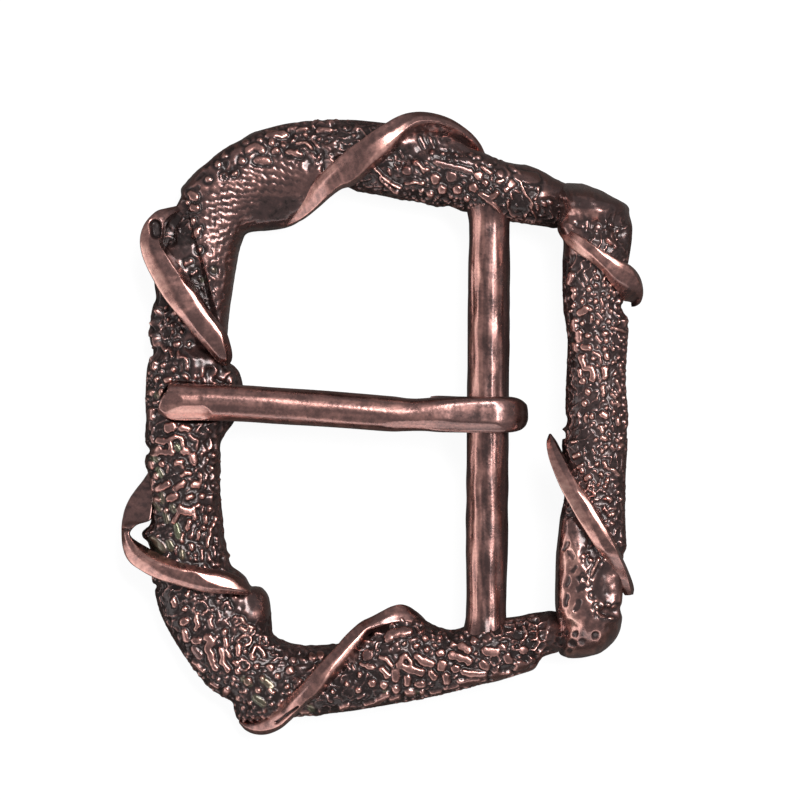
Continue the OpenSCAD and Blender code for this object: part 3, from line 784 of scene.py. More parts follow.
def domed(outer, inner, base, height, crest, face, back, fullness=0.54):
    """Rings of a domed section between two lines of the plan.

    Across the face the place goes as (1 - cos a) / 2 to a power that puts the crest where it is
    asked for, and the height as sin a to the power fullness. The back is straight."""
    a = np.linspace(0, math.pi, 400)
    sample = np.stack([(1 - np.cos(a)) / 2 * 7.5, 4.4 * np.sin(a) ** fullness], -1)
    travel = travelled(sample)
    a = np.interp(np.linspace(0, travel[-1], face), travel, a)[None]
    lean = (np.log(crest) / math.log(0.5))[:, None]
    u = ((1 - np.cos(a)) / 2) ** lean
    edge = np.minimum(EDGE, height / 3)[:, None]
    z = base[:, None] + edge + (height[:, None] - edge) * np.clip(np.sin(a), 0, 1) ** fullness
    plane = outer[:, None] + (inner - outer)[:, None] * u[..., None]
    top = np.concatenate([plane, z[..., None]], -1)
    across = unit(inner - outer)
    t = np.linspace(0, 1, back)[None, :, None]
    foot_a, foot_b = outer + across * DRAFT, inner - across * DRAFT
    under = foot_b[:, None] * (1 - t) + foot_a[:, None] * t
    under = np.concatenate([under, np.broadcast_to(base[:, None, None], under.shape[:2] + (1,))], -1)
    return np.concatenate([top, under], axis=1), across


def unfolded(grid, across, face):
    """Plan places with each ring's face laid out flat, so that relief isn't stretched.

    Each is as far from the ring's highest point as it is along the face."""
    top = grid[:, :face]
    steps = np.linalg.norm(np.diff(top, axis=1), axis=-1)
    travel = np.concatenate([np.zeros((len(grid), 1)), np.cumsum(steps, axis=1)], axis=1)
    high = top[..., 2].argmax(axis=1)
    rows = np.arange(len(grid))
    v = travel - travel[rows, high][:, None]
    q = top[rows, high, :2][:, None] + v[..., None] * across[:, None]
    under = np.broadcast_to(q[:, -1:], (len(grid), grid.shape[1] - face, 2))
    return np.concatenate([q, under], axis=1)


def sunk(grid, q, patches, face, extra=None):
    """The grid with its relief cut in, and the mask of tone that its material reads.

    The tone is highest on thin ridges and the shoulders of broad ones, and lowest in narrow valleys."""
    normal = facing(grid)
    height, depth = face_relief(q, grid[..., :2], patches)
    seen = grid[..., :2].reshape(-1, 2)
    up = ease((normal[..., 2] - 0.2) / 0.3)
    height = height * (1 - up) + stamped(seen, height.ravel()).reshape(height.shape) * up
    height = (height + smeared(height, 1)) / 2
    shown = np.zeros(grid.shape[:2])
    low = grid[:, :face, 2] - grid[:, face:].mean(axis=1)[:, None, 2]
    shown[:, :face] = ease((low - 0.5) / 1.0)
    cut = depth * (1 - height)
    broad = hollowed(seen) + (extra(seen) if extra else 0)
    cut = (cut + broad.reshape(cut.shape) * up) * shown
    bulge = height - smeared(height, 2)
    # Here the table's rubbed wear, painted shade and painted reflections join the relief's tone.
    tone = 0.03 + 0.54 * height + 1.2 * bulge + (wear_and_painted_light(seen) - 0.1 * broad).reshape(cut.shape)
    tone = np.clip(tone, 0, 1)
    return grid - normal * cut[..., None], {"tone": tone * shown + 0.35 * (1 - shown)}


def seated(grid):
    """The rim with a groove cut along the prong's tip."""
    x, y, z = grid[..., 0], grid[..., 1], grid[..., 2]
    ahead = np.clip(TIP[0] + 1.4 - x, 0, None) * SEAT_R / 1.5
    aside = np.hypot(y - TIP[1] - (x - TIP[0]) * TIP_TURN, ahead)
    floor = TIP[2] + (x - TIP[0]) * TIP_RISE - np.sqrt(np.clip(SEAT_R**2 - aside**2, 0, None))
    inside = (aside < SEAT_R) & (z > 1.5)
    return np.concatenate([grid[..., :2], np.where(inside, np.minimum(z, floor), z)[..., None]], -1)


def rim_grid():
    """The rim: a domed section carried along its two edges, with the relief and the prong's seat cut in."""
    edges = np.reshape(RIM, (-1, 2, 2))
    edges = plan(edges, back_height(plan(edges)[..., 0]) + EDGE).reshape(-1, 4)
    numbers = np.arange(len(edges))
    row, height, crest = np.transpose(RIM_HEIGHTS)
    heights = np.column_stack([np.interp(numbers, row, height), np.interp(numbers, row, crest)])
    rows = between(np.hstack([edges, heights]))
    rows = even(rows, (rows[:, :2] + rows[:, 2:4]) / 2, FINE)
    outer, inner = rows[:, :2], rows[:, 2:4]
    base = back_height((outer[:, 0] + inner[:, 0]) / 2)
    grid, across = domed(outer, inner, base, rows[:, 4], rows[:, 5], RIM_FACE, RIM_BACK)
    grid, masks = sunk(grid, unfolded(grid, across, RIM_FACE), PATCHES, RIM_FACE, folded)
    return seated(grid), masks


# Keeper bar

# The raised bar's edges and heights, from its upper foot to its lower foot.
KEEPER = [
    # picture y, left x, right x, underside, top in millimetres
    (181.5, 563.5, 583.5, 0.0, 2.8),
    (185, 559, 592, 0.0, 4.8),
    (190, 556.8, 604, 0.0, 6.6),
    (196, 556.5, 614.5, 0.0, 7.7),
    (202, 556.5, 625.5, 0.0, 8.3),
    (207, 556.5, 630, 0.0, 8.5),
    (212, 556.5, 630.4, 0.0, 8.7),
    (215.5, 556.5, 630.8, 0.0, 8.8),
    (223.5, 557, 632, 4.14, 9.0),
    (229, 557.8, 632.4, 4.5, 9.1),
    (236, 560, 632, 4.6, 9.1),
    (243, 563, 631.4, 4.6, 9.2),
    (266, 561.8, 628, 4.6, 9.2),
    (285, 561.4, 626, 4.6, 9.2),
    (301, 562.2, 624, 4.6, 9.1),
    (306, 562.8, 621.5, 4.6, 9.1),
    (313, 563.2, 624.3, 4.6, 9.1),
    (319, 564.1, 628.9, 4.6, 9.1),
    (325, 564.9, 628.2, 4.6, 9.1),
    (331, 565.7, 629.3, 4.6, 9.1),
    (343, 566.7, 627.8, 4.6, 9.0),
    (380, 565.3, 626.2, 4.6, 9.0),
    (400, 564.6, 627.5, 4.6, 9.0),
    (412, 564.7, 628.5, 4.6, 9.0),
    (419, 566.4, 628.5, 4.6, 9.0),
    (425, 565.2, 628.7, 4.6, 9.0),
    (429, 561.5, 627.6, 4.6, 9.0),
    (433, 564.5, 627.6, 4.6, 9.0),
    (438, 564.5, 627.5, 4.6, 9.0),
    (442, 561.2, 628.2, 4.6, 9.0),
    (475, 562.6, 626.4, 4.6, 9.0),
    (498, 563.2, 626, 4.6, 9.0),
    (512, 560.4, 625.8, 4.6, 9.0),
    (534, 557.8, 626.6, 4.6, 9.0),
    (548, 556.2, 627, 4.6, 9.0),
    (555, 555.6, 624, 4.6, 9.0),
    (575, 555, 623.2, 4.6, 9.0),
    (599, 554.7, 622.4, 4.6, 8.95),
    (607.5, 555, 620.2, 4.6, 8.9),
    (617.5, 556.5, 622.4, 4.14, 8.8),
    (625.5, 557, 622.3, 0.0, 8.5),
    (633, 557.5, 620.5, 0.0, 8.1),
    (641, 558, 616.5, 0.0, 7.5),
    (648.5, 558.6, 610, 0.0, 6.6),
    (654.2, 560, 602, 0.0, 5.4),
    (657.4, 562.6, 594.5, 0.0, 4.2),
    (659.6, 568, 586, 0.0, 3.0),
]
KEEPER_PATCHES = [
    # x, y, reach, kind
    (21.0, 22.5, 2.6, "plain"),
    (18.5, 19.5, 1.6, "plain"),
    (22.5, 19.5, 1.8, "curls"),
    (19.2, 14.0, 1.6, "curls"),
    (22.5, 12.0, 2.4, "beads"),
    (19.4, 8.0, 1.8, "curls"),
    (22.8, 6.0, 2.4, "beads"),
    (20.5, 2.0, 2.2, "curls"),
    (23.0, 0.0, 2.4, "beads"),
    (20.5, -3.0, 2.0, "curls"),
    (23.0, -6.0, 2.4, "curls"),
    (20.0, -6.5, 2.0, "curls"),
    (22.5, -10.0, 2.4, "curls"),
    (19.0, -12.0, 1.6, "plain"),
    (18.6, -14.5, 2.0, "plain"),
    (21.0, -13.0, 1.6, "beads"),
    (22.5, -16.0, 2.0, "plain"),
    (19.0, -18.5, 2.0, "plain"),
    (22.0, -19.5, 2.0, "plain"),
    (20.5, -22.0, 2.0, "plain"),
]
# The raised bar is rubbed a little lighter than the rim.
KEEPER_RUBBED = 0.1
KEEPER_CREST = 0.5
KEEPER_FACE, KEEPER_BACK = 150, 14


def keeper_grid():
    """The raised bar. Its plan and top are smooth curves, and its underside keeps its sharp turns."""
    table = np.asarray(KEEPER)
    rows = between(table, 12)
    rows[:, 3] = np.interp(rows[:, 0], table[:, 0], table[:, 3])
    rows = even(rows, rows[:, [0, 0]] * (1 / PIXELS_PER_MM, 0), FINE)
    outer, inner = plan(rows[:, [1, 0]]), plan(rows[:, [2, 0]])
    crest = np.full(len(rows), KEEPER_CREST)
    height = rows[:, 4] - rows[:, 3]
    grid, across = domed(outer, inner, rows[:, 3], height, crest, KEEPER_FACE, KEEPER_BACK)
    grid, masks = sunk(grid, unfolded(grid, across, KEEPER_FACE), KEEPER_PATCHES, KEEPER_FACE)
    return grid, {"tone": masks["tone"] + KEEPER_RUBBED}


# Vines

# Each vine's two edges in the picture's pixels, and the height of its middle and its thickness in
# millimetres.
VINES = {
    "vine_top": [
        # edge x, y, other edge x, y, middle z, thickness
        (485.4, 154.3, 470, 158, 3.0, 1.8), (480.6, 144.2, 462, 152, 3.7, 2.0),
        (472.6, 134.5, 453, 146, 4.3, 2.1),
        (463.5, 127, 445, 140, 4.8, 2.2), (453.2, 120.4, 437, 136, 5.3, 2.3), (441.7, 115.5, 430, 134, 5.75, 2.4),
        (430, 112.4, 421, 135, 6.2, 2.4), (419, 111.5, 412, 138, 6.65, 2.4), (407.2, 113.2, 403, 144, 7.1, 2.4),
        (395.7, 117.6, 396, 150, 7.4, 2.4), (384, 124.4, 389, 156, 7.6, 2.4), (372.6, 131.6, 381, 163, 7.65, 2.4),
        (361.3, 140, 371, 171, 7.5, 2.4), (350, 148, 362, 179, 7.2, 2.4), (340, 156.5, 352, 186, 6.75, 2.4),
        (330, 165.5, 341, 189.3, 6.2, 2.4), (320, 175, 330.2, 197.2, 5.6, 2.4),
        (311, 185.5, 320.6, 206, 4.9, 2.3),
        (304, 196, 312, 213, 4.2, 2.1), (296, 207, 303, 219.5, 3.5, 1.8), (289, 216, 294, 224, 2.9, 1.5),
        (284, 222, 287, 227, 2.5, 1.0),
    ],
    "vine_left_high": [
        (184, 204, 184, 213, 2.6, 1.6), (174, 206.4, 174, 217, 3.2, 1.8), (166, 208.2, 168, 222, 3.6, 2.0),
        (157.6, 210.6, 166, 227, 3.9, 2.0), (150.4, 216.4, 165, 233, 4.1, 2.1),
        (144.6, 224, 164.5, 237, 4.3, 2.2),
        (141.2, 233, 164, 240, 4.4, 2.3), (140.2, 242, 163.5, 243, 4.6, 2.3), (141.2, 251, 166, 247.5, 4.8, 2.3),
        (143.6, 260, 172, 254.5, 5.0, 2.4), (148, 270, 178.5, 263, 5.2, 2.4), (153.5, 280, 185.5, 272, 5.4, 2.4),
        (159, 290, 192, 281.5, 5.6, 2.4), (165.5, 300, 198, 291, 5.7, 2.4), (172.5, 309, 203.5, 300, 5.7, 2.4),
        (180, 318, 209.5, 309, 5.65, 2.4), (187, 326.5, 215, 317.5, 5.6, 2.4), (194, 334.5, 221, 325.5, 5.5, 2.4),
        (201, 342, 227, 333, 5.45, 2.4), (207, 349, 230.5, 344, 5.35, 2.3), (212, 355, 232.4, 354, 5.2, 2.1),
        (216.5, 361, 231.6, 361, 4.9, 1.8), (220.5, 365.5, 228, 365.8, 4.4, 1.2),
    ],
    "vine_left_low": [
        (149, 471, 156, 475, 1.5, 1.2), (143, 480, 156, 486, 2.0, 1.5), (136, 489, 155, 497, 2.4, 1.7),
        (129.5, 498.5, 154, 506, 2.6, 1.8), (125, 508.5, 153, 514, 2.75, 1.9),
        (122.8, 518, 150, 520.5, 2.9, 1.9),
        (121.8, 525, 137, 525, 3.0, 1.9), (121.4, 531, 130.5, 532, 3.1, 1.9), (121.5, 538, 131.5, 536.5, 3.2, 1.9),
        (122.4, 546, 137, 541, 3.45, 2.0), (125.5, 555.5, 144.5, 545.5, 3.9, 2.1), (131, 563, 152, 550, 4.4, 2.2),
        (139, 569, 160, 554, 4.8, 2.3), (150, 575.5, 169, 557.8, 5.1, 2.4), (163, 580.8, 178, 561.2, 5.3, 2.4),
        (177, 585, 188, 564, 5.45, 2.4), (191, 588.5, 199, 566.5, 5.5, 2.4), (206, 592, 211, 568.5, 5.45, 2.4),
        (221, 593.4, 225, 570.8, 5.4, 2.4), (234, 594.4, 237, 575.5, 5.3, 2.3),
        (243, 594.7, 245, 580.8, 5.0, 2.1),
        (248.5, 594.7, 250, 586.8, 4.6, 1.8), (251, 594, 251.5, 591, 4.3, 1.2),
    ],
    "vine_bottom": [
        (239, 719.5, 239, 723, 1.6, 0.9), (246, 720.6, 245, 729.6, 1.9, 1.4), (254, 719.4, 253, 733.6, 2.3, 1.8),
        (261, 716.3, 262, 734.8, 2.9, 2.0), (268, 712, 271, 733.2, 3.5, 2.2), (276, 706, 281, 728.5, 4.2, 2.3),
        (284, 699.5, 290, 721, 4.9, 2.4), (292, 692.5, 299, 712.5, 5.5, 2.5), (300, 686, 308, 703.5, 6.0, 2.5),
        (309, 676, 319, 695.5, 6.35, 2.5), (318, 665.5, 329, 685.5, 6.45, 2.5),
        (326, 657, 338.5, 675.5, 6.35, 2.5),
        (334.5, 648, 347.5, 665.5, 6.1, 2.4), (343.5, 637.8, 356, 655.5, 5.75, 2.3),
        (352.5, 628.8, 363, 645, 5.4, 2.2),
        (361.5, 621.6, 369, 634.5, 5.15, 2.2), (371, 616.6, 378, 631, 5.0, 2.2),
        (381, 611.2, 388, 629, 4.95, 2.2),
        (391, 606.4, 398, 628, 4.8, 2.1), (400.4, 604.3, 409, 628, 4.5, 2.0),
        (408.5, 606.3, 418, 628.5, 4.2, 1.9),
        (416, 611, 426, 629, 3.8, 1.7), (423, 617, 433, 629.5, 3.3, 1.3),
    ],
    "vine_keeper_high": [
        (557.3, 226, 562.5, 217, 4.8, 1.5), (558, 232, 565.5, 223.5, 6.0, 1.7), (563, 240, 571, 229, 7.2, 1.9),
        (571, 248.3, 578.5, 234, 8.1, 2.0), (580, 255, 587, 239, 8.7, 2.1), (589, 260.7, 596, 244.7, 9.0, 2.2),
        (597, 267, 605, 250.6, 9.1, 2.2), (604, 274, 614, 256, 9.1, 2.2), (609, 281, 622.5, 261.2, 8.95, 2.2),
        (615, 288, 630.5, 265.5, 8.6, 2.2), (620, 295.5, 636.8, 271.6, 8.1, 2.2),
        (624, 300.5, 641, 279.2, 7.5, 2.2),
        (628, 301.5, 643.3, 288.3, 6.9, 2.1), (631, 302.5, 643.2, 296.2, 6.3, 2.0),
        (631, 304, 640.4, 302.9, 5.8, 1.8),
        (631.5, 306, 635.8, 306, 5.4, 1.4), (631.2, 306.3, 632.5, 306.6, 5.2, 0.8),
    ],
    "vine_keeper_low": [
        (549, 434, 551, 433.6, 6.0, 0.6), (546.6, 441, 556, 440.5, 6.3, 1.2), (546.8, 449, 560, 448, 6.7, 1.6),
        (549, 459, 565.5, 458, 7.2, 1.8), (552.6, 469, 571, 468.5, 7.8, 1.9), (557.6, 481, 578.5, 480, 8.4, 2.0),
        (562.8, 493, 586.5, 491.5, 8.9, 2.1), (570, 506, 595.5, 504, 9.1, 2.1), (577, 518, 602, 515.5, 9.2, 2.1),
        (584, 529.5, 609, 528, 9.1, 2.1), (591, 540.5, 615, 539.5, 8.9, 2.1), (597.5, 550, 619.5, 550, 8.6, 2.1),
        (604, 559, 623.4, 559.5, 8.0, 2.1), (609, 567.5, 627.6, 569, 7.4, 2.1), (613.5, 576, 631, 577, 6.7, 2.0),
        (618, 585, 633.2, 584, 6.1, 1.9), (622, 591.5, 634.2, 589.5, 5.6, 1.8),
        (624.5, 595.5, 633.4, 594.5, 5.3, 1.4),
    ],
}
# Each vine's section at some rows of its table. Places go from 0 at the first edge to 1 at the other, and
# heights from 0 at the middle to 1 at the top: the first edge's height, the place and height of the ridge,
# where the bevel starts and ends, the height of the other edge, and the tones of the first facet and the top.
# The first facet's tone is lighter partly for rubbed wear and partly as a painted reflection of the side light.
VINE_SHAPES = {
    "vine_top": [
        # row, first edge, ridge, its height, bevel start, bevel end, other edge, facet tone, top tone
        (0, 0.5, 0.1, 0.8, 0.2, 0.3, 0.2, 0.6, 0.45), (3, 0.5, 0.1, 0.8, 0.25, 0.35, 0.0, 0.6, 0.45),
        (5, 0.3, 0.15, 0.75, 0.35, 0.45, -0.2, 0.5, 0.45), (7, 0.2, 0.2, 0.75, 0.42, 0.55, -0.3, 0.45, 0.45),
        (8, 0.2, 0.3, 0.8, 0.54, 0.6, -0.3, 0.45, 0.5), (9, 0.3, 0.36, 0.84, 0.58, 0.76, -0.3, 0.5, 0.58),
        (10, 0.5, 0.34, 0.88, 0.6, 0.84, -0.3, 0.55, 0.6), (11, 0.5, 0.32, 0.89, 0.62, 0.85, -0.3, 0.57, 0.6),
        (13, 0.5, 0.3, 0.9, 0.82, 0.86, -0.3, 0.6, 0.6),
        (15, 0.5, 0.35, 0.92, 0.84, 0.88, -0.2, 0.72, 0.62), (18, 0.5, 0.4, 0.92, 0.86, 0.92, 0.0, 0.78, 0.6),
        (21, 0.3, 0.5, 0.9, 0.8, 0.9, 0.2, 0.6, 0.5),
    ],
    "vine_left_high": [
        (0, 0.3, 0.3, 0.8, 0.6, 0.66, 0.2, 0.4, 0.4), (3, 0.4, 0.4, 0.85, 0.78, 0.82, 0.2, 0.5, 0.4),
        (5, 0.4, 0.4, 0.85, 0.82, 0.84, 0.2, 0.7, 0.42), (8, 0.4, 0.4, 0.88, 0.82, 0.84, 0.0, 0.84, 0.46),
        (10, 0.4, 0.38, 0.9, 0.78, 0.8, -0.2, 0.87, 0.5), (12, 0.4, 0.36, 0.93, 0.74, 0.78, -0.3, 0.84, 0.52),
        (13, 0.5, 0.32, 0.94, 0.75, 0.89, -0.4, 0.8, 0.54), (15, 0.5, 0.26, 0.95, 0.72, 0.9, -0.4, 0.72, 0.55),
        (17, 0.5, 0.2, 0.94, 0.72, 0.89, -0.2, 0.66, 0.54), (18, 0.5, 0.2, 0.92, 0.72, 0.82, 0.1, 0.62, 0.52),
        (19, 0.4, 0.2, 0.9, 0.7, 0.73, 0.3, 0.58, 0.5), (22, 0.4, 0.3, 0.85, 0.6, 0.64, 0.3, 0.52, 0.5),
    ],
    "vine_left_low": [
        (0, 0.1, 0.5, 0.6, 0.9, 0.94, 0.7, 0.4, 0.35), (5, 0.1, 0.5, 0.6, 0.92, 0.96, 0.8, 0.4, 0.35),
        (6, 0.3, 0.4, 0.8, 0.85, 0.9, 0.5, 0.5, 0.4), (8, 0.4, 0.42, 0.88, 0.8, 0.9, 0.3, 0.7, 0.55),
        (10, 0.4, 0.4, 0.88, 0.6, 0.72, 0.2, 0.75, 0.7), (12, 0.4, 0.4, 0.88, 0.55, 0.7, 0.1, 0.75, 0.68),
        (14, 0.5, 0.3, 0.9, 0.64, 0.74, 0.1, 0.7, 0.6), (16, 0.5, 0.25, 0.92, 0.68, 0.76, 0.1, 0.65, 0.58),
        (17, 0.5, 0.22, 0.92, 0.46, 0.78, 0.1, 0.62, 0.58), (18, 0.5, 0.2, 0.92, 0.32, 0.76, 0.1, 0.6, 0.58),
        (19, 0.5, 0.2, 0.92, 0.32, 0.68, 0.1, 0.6, 0.58), (20, 0.4, 0.2, 0.9, 0.34, 0.46, 0.1, 0.55, 0.55),
        (22, 0.3, 0.2, 0.8, 0.4, 0.6, 0.2, 0.5, 0.5),
    ],
    "vine_bottom": [
        (0, 0.4, 0.3, 0.85, 0.6, 0.66, 0.3, 0.6, 0.5), (5, 0.4, 0.36, 0.9, 0.78, 0.84, 0.2, 0.72, 0.62),
        (9, 0.5, 0.36, 0.92, 0.72, 0.8, 0.1, 0.62, 0.62), (11, 0.4, 0.36, 0.9, 0.52, 0.7, 0.0, 0.6, 0.62),
        (13, 0.3, 0.34, 0.88, 0.46, 0.68, 0.0, 0.58, 0.62), (15, 0.3, 0.4, 0.88, 0.56, 0.7, 0.1, 0.52, 0.52),
        (17, 0.4, 0.4, 0.9, 0.66, 0.72, 0.2, 0.5, 0.45), (22, 0.4, 0.3, 0.9, 0.66, 0.72, 0.3, 0.5, 0.45),
    ],
    "vine_keeper_high": [
        (0, 0.4, 0.5, 0.9, 0.8, 0.86, 0.3, 0.75, 0.65), (3, 0.4, 0.46, 0.92, 0.84, 0.88, 0.3, 0.88, 0.7),
        (5, 0.4, 0.36, 0.92, 0.8, 0.86, 0.2, 0.86, 0.68), (6, 0.4, 0.28, 0.93, 0.72, 0.9, 0.2, 0.8, 0.66),
        (7, 0.2, 0.24, 0.92, 0.72, 0.93, 0.1, 0.7, 0.64), (9, 0.0, 0.28, 0.9, 0.72, 0.93, 0.1, 0.58, 0.6),
        (10, -0.2, 0.38, 0.9, 0.8, 0.88, 0.0, 0.46, 0.5), (13, -0.4, 0.6, 0.95, 0.85, 0.9, -0.1, 0.35, 0.46),
        (16, 0.0, 0.5, 0.9, 0.75, 0.85, 0.0, 0.35, 0.45),
    ],
    "vine_keeper_low": [
        (0, 0.4, 0.4, 0.85, 0.7, 0.74, 0.3, 0.5, 0.4), (3, 0.4, 0.45, 0.9, 0.82, 0.86, 0.2, 0.75, 0.42),
        (5, 0.5, 0.48, 0.92, 0.76, 0.84, 0.0, 0.84, 0.52), (6, 0.5, 0.46, 0.93, 0.66, 0.86, -0.1, 0.86, 0.56),
        (8, 0.5, 0.42, 0.93, 0.64, 0.86, -0.2, 0.84, 0.58), (10, 0.5, 0.35, 0.93, 0.68, 0.87, -0.2, 0.78, 0.58),
        (11, 0.5, 0.3, 0.93, 0.8, 0.86, -0.2, 0.74, 0.55), (13, 0.5, 0.25, 0.9, 0.78, 0.82, -0.2, 0.7, 0.5),
        (15, 0.4, 0.2, 0.88, 0.68, 0.72, -0.1, 0.65, 0.48), (17, 0.3, 0.3, 0.9, 0.6, 0.64, 0.1, 0.6, 0.45),
    ],
}
# How fast each vine's bevel falls across it, so that the strip light shows in it.
BEVEL_FALLS = {
    "vine_top": 0.23,
    "vine_left_high": 0.3,
    "vine_left_low": 0.28,
    "vine_bottom": 0.23,
    "vine_keeper_high": 0.3,
    "vine_keeper_low": 0.24,
}
# Pits and creases in the vines: half width, depth, then the places that each runs through.
VINE_PITS = [
    (6.2, 0.7, 155.3, 225, 156.4, 233),
    (0.9, 0.5, 276, 722.5, 285, 715.5, 292, 710.5, 298, 706),
    (0.8, 0.5, 120, 529.5, 131, 530),
]


def vine_section(shape, wide, half, fall):
    """Corners of a forged strand's section, for each row of shape, as place and height.

    A vertical edge, a facet that climbs to the ridge, a level one up to the bevel, the bevel that
    turns down by fall, a flank to the far edge and a deep rounded underside."""
    first, ridge, knee, start, end, last = shape.T
    none = np.zeros_like(first)
    low = 1 - fall * (end - start) * wide / half
    near = ((none, first - 0.3), (none, first), (ridge, knee), (start, none + 1), (end, low))
    under = ((none + 0.84, none - 1.4), (none + 0.5, none - 1.8), (none + 0.16, none - 1.4))
    corners = near + ((none + 1, last), (none + 1, last - 0.3)) + under
    return np.stack([np.stack(corner, -1) for corner in corners], axis=1)


def vine_pits(grid, upward):
    """How deep the pits and creases are at each point of a strand."""
    pit = np.zeros(grid.shape[:2])
    for reach, deep, *spots in VINE_PITS:
        path, reach = in_millimetres(spots, reach)
        d = away(grid[..., :2].reshape(-1, 2), path).reshape(pit.shape)
        pit = np.maximum(pit, deep * ease((reach + 0.08 - d) / (0.15 + 0.4 * reach)) * upward)
    return pit


def vine_tone_and_painted_light(rows, place, normal, q):
    """Tone over a strand: the facet's and the top's own, with painted light and shade laid on.

    A painted highlight lies on the bevel, where the strip light shows, and a painted light line along the first
    edge; painted shade lies past the bevel and on the underside, which face away from the light."""
    ridge, start, end, facet, top = rows[:, [7, 9, 10, 12, 13]].T[..., None]
    tone = top + (facet - top) * ease((ridge + 0.05 - place) / 0.1) + 0.05 * waves(q, 0.7, 92)
    # Painted highlight on the bevel, painted shade on the flank past it.
    tone += 0.15 * ease((place - start + 0.03) / 0.06) - 0.25 * ease((place - end - 0.02) / 0.12)
    # Painted light line along the first edge, painted shade where the strand faces down.
    tone += 0.12 * ease((0.05 - place) / 0.05) - 0.3 * (1 - ease((normal[..., 2] + 0.2) / 0.4))
    return tone


def vine_grid(name, sides=90):
    """Upright rings of a strand between its two edges, with the corners of its section softened a little."""
    table = np.asarray(VINES[name], float)
    row, *shape = np.transpose(VINE_SHAPES[name])
    shape = [np.interp(np.arange(len(table)), row, column) for column in shape]
    height = table[:, 4]
    edges = [plan(table[:, :2], height), plan(table[:, 2:4], height)]
    rows = between(np.column_stack([*edges, table[:, 4:], *shape]))
    rows = even(rows, np.column_stack([(rows[:, :2] + rows[:, 2:4]) / 2, rows[:, 4]]), FINE)
    one, other, half = rows[:, None, :2], rows[:, None, 2:4], rows[:, 5] / 2
    wide = np.linalg.norm(rows[:, 2:4] - rows[:, :2], axis=1)
    corners = vine_section(rows[:, 6:12], wide, half, BEVEL_FALLS[name])
    count = corners.shape[1]
    spot = np.linspace(0, count, sides, endpoint=False)
    k = spot.astype(int)
    f = (spot - k)[None, :, None]
    section = corners[:, k] * (1 - f) + corners[:, (k + 1) % count] * f
    for _ in range(4):
        section = section / 2 + (np.roll(section, 1, 1) + np.roll(section, -1, 1)) / 4
    place, z = section[..., 0], rows[:, 4:5] + section[..., 1] * half[:, None]
    place = (place - place.min(axis=1, keepdims=True)) / np.ptp(place, axis=1)[:, None]
    grid = np.concatenate([one + (other - one) * place[..., None], z[..., None]], -1)
    q = np.stack(np.broadcast_arrays(spot[None] * 0.4, np.arange(len(rows))[:, None] * FINE), -1)
    normal = facing(grid)
    pit = vine_pits(grid, ease(normal[..., 2] * 3))
    grid[..., 2] -= pit
    grid = grid + normal * (0.01 * waves(q * (1, 0.4), 1.3, 91))[..., None]
    # The tone is painted dark in the pits and creases, a painted shade over their floors.
    return grid, {"tone": vine_tone_and_painted_light(rows, place, normal, q) * (1 - ease(pit / 0.45))}


# Centre bar

BAR_X = 10.67
BAR_Z = 4.2
BAR_R = 2.1
# The bar's ends, inside the rails, and the rings of points between them.
BAR_LOW, BAR_TOP = -22.6, 23.0
BAR_RINGS = 420
# It swells by FLARE round these two places, over FLARE_LONG.
FLARE_LOW, FLARE_TOP = -20.4, 21.0
FLARE = 0.4
FLARE_LONG = 2.4
# The bar leans a little, and is straight over its axis where y is BAR_OVER_AXIS.
BAR_LEAN = 0.008
BAR_OVER_AXIS = 5.0
# The bar thins by BAR_TAPER towards each end, before it flares: from what place, and over what length.
BAR_TAPER = 0.08
TAPER_TOP, TAPER_TOP_LONG = 15, 4
TAPER_LOW, TAPER_LOW_LONG = -12, 5

# Bands along the bar: how far each is from the middle line, from -1 at its left edge to 1, and its tone.
# The tones stand partly for its filed flats and are partly painted light: the light band on the left is a
# painted reflection of the side light, and the band round the strip light's highlight is painted dimmer.
BAND_PLACES = (-1.0, -0.9, -0.82, -0.3, -0.22, 0.16, 0.3, 0.6, 0.68, 1.0)
BAND_TONES_AND_PAINTED_LIGHT = (0.3, 0.35, 0.72, 0.7, 0.42, 0.38, 0.52, 0.5, 0.34, 0.3)


def bar_grid(sides=160):
    """A round bar with filed flats along it that swells where it runs into the rails."""
    y = np.linspace(BAR_LOW, BAR_TOP, BAR_RINGS)[:, None]
    a = np.linspace(0, 2 * math.pi, sides, endpoint=False)[None]
    reach = FLARE_LONG / 2
    swell = ease((y - FLARE_TOP + reach) / FLARE_LONG) + ease((FLARE_LOW + reach - y) / FLARE_LONG)
    q = np.stack(np.broadcast_arrays(a * BAR_R, y), -1)
    flats = 0.02 * np.cos(9 * a + 0.6) + 0.006 * waves(q * (2.2, 0.12), 1.2, 82)
    thin = BAR_TAPER * (ease((y - TAPER_TOP) / TAPER_TOP_LONG) + ease((TAPER_LOW - y) / TAPER_LOW_LONG))
    r = BAR_R + FLARE * swell - thin + 0.02 * waves(q * (1, 0.35), 1.6, 81) + flats
    x = BAR_X + BAR_LEAN * (y - BAR_OVER_AXIS) + r * np.cos(a)
    grid = np.stack(np.broadcast_arrays(x, y, BAR_Z + r * np.sin(a)), -1)
    across = np.cos(a) + 0.03 * waves(q * (0.1, 0.3), 1.5, 83)
    # The bands' tones carry the painted reflection of the side light and the painted dimming of the highlight.
    tone = np.interp(across, BAND_PLACES, BAND_TONES_AND_PAINTED_LIGHT) * (1 - 0.5 * swell)
    return grid, {"tone": tone + 0.06 * waves(q * (1.6, 0.2), 0.9, 84)}


# Prong

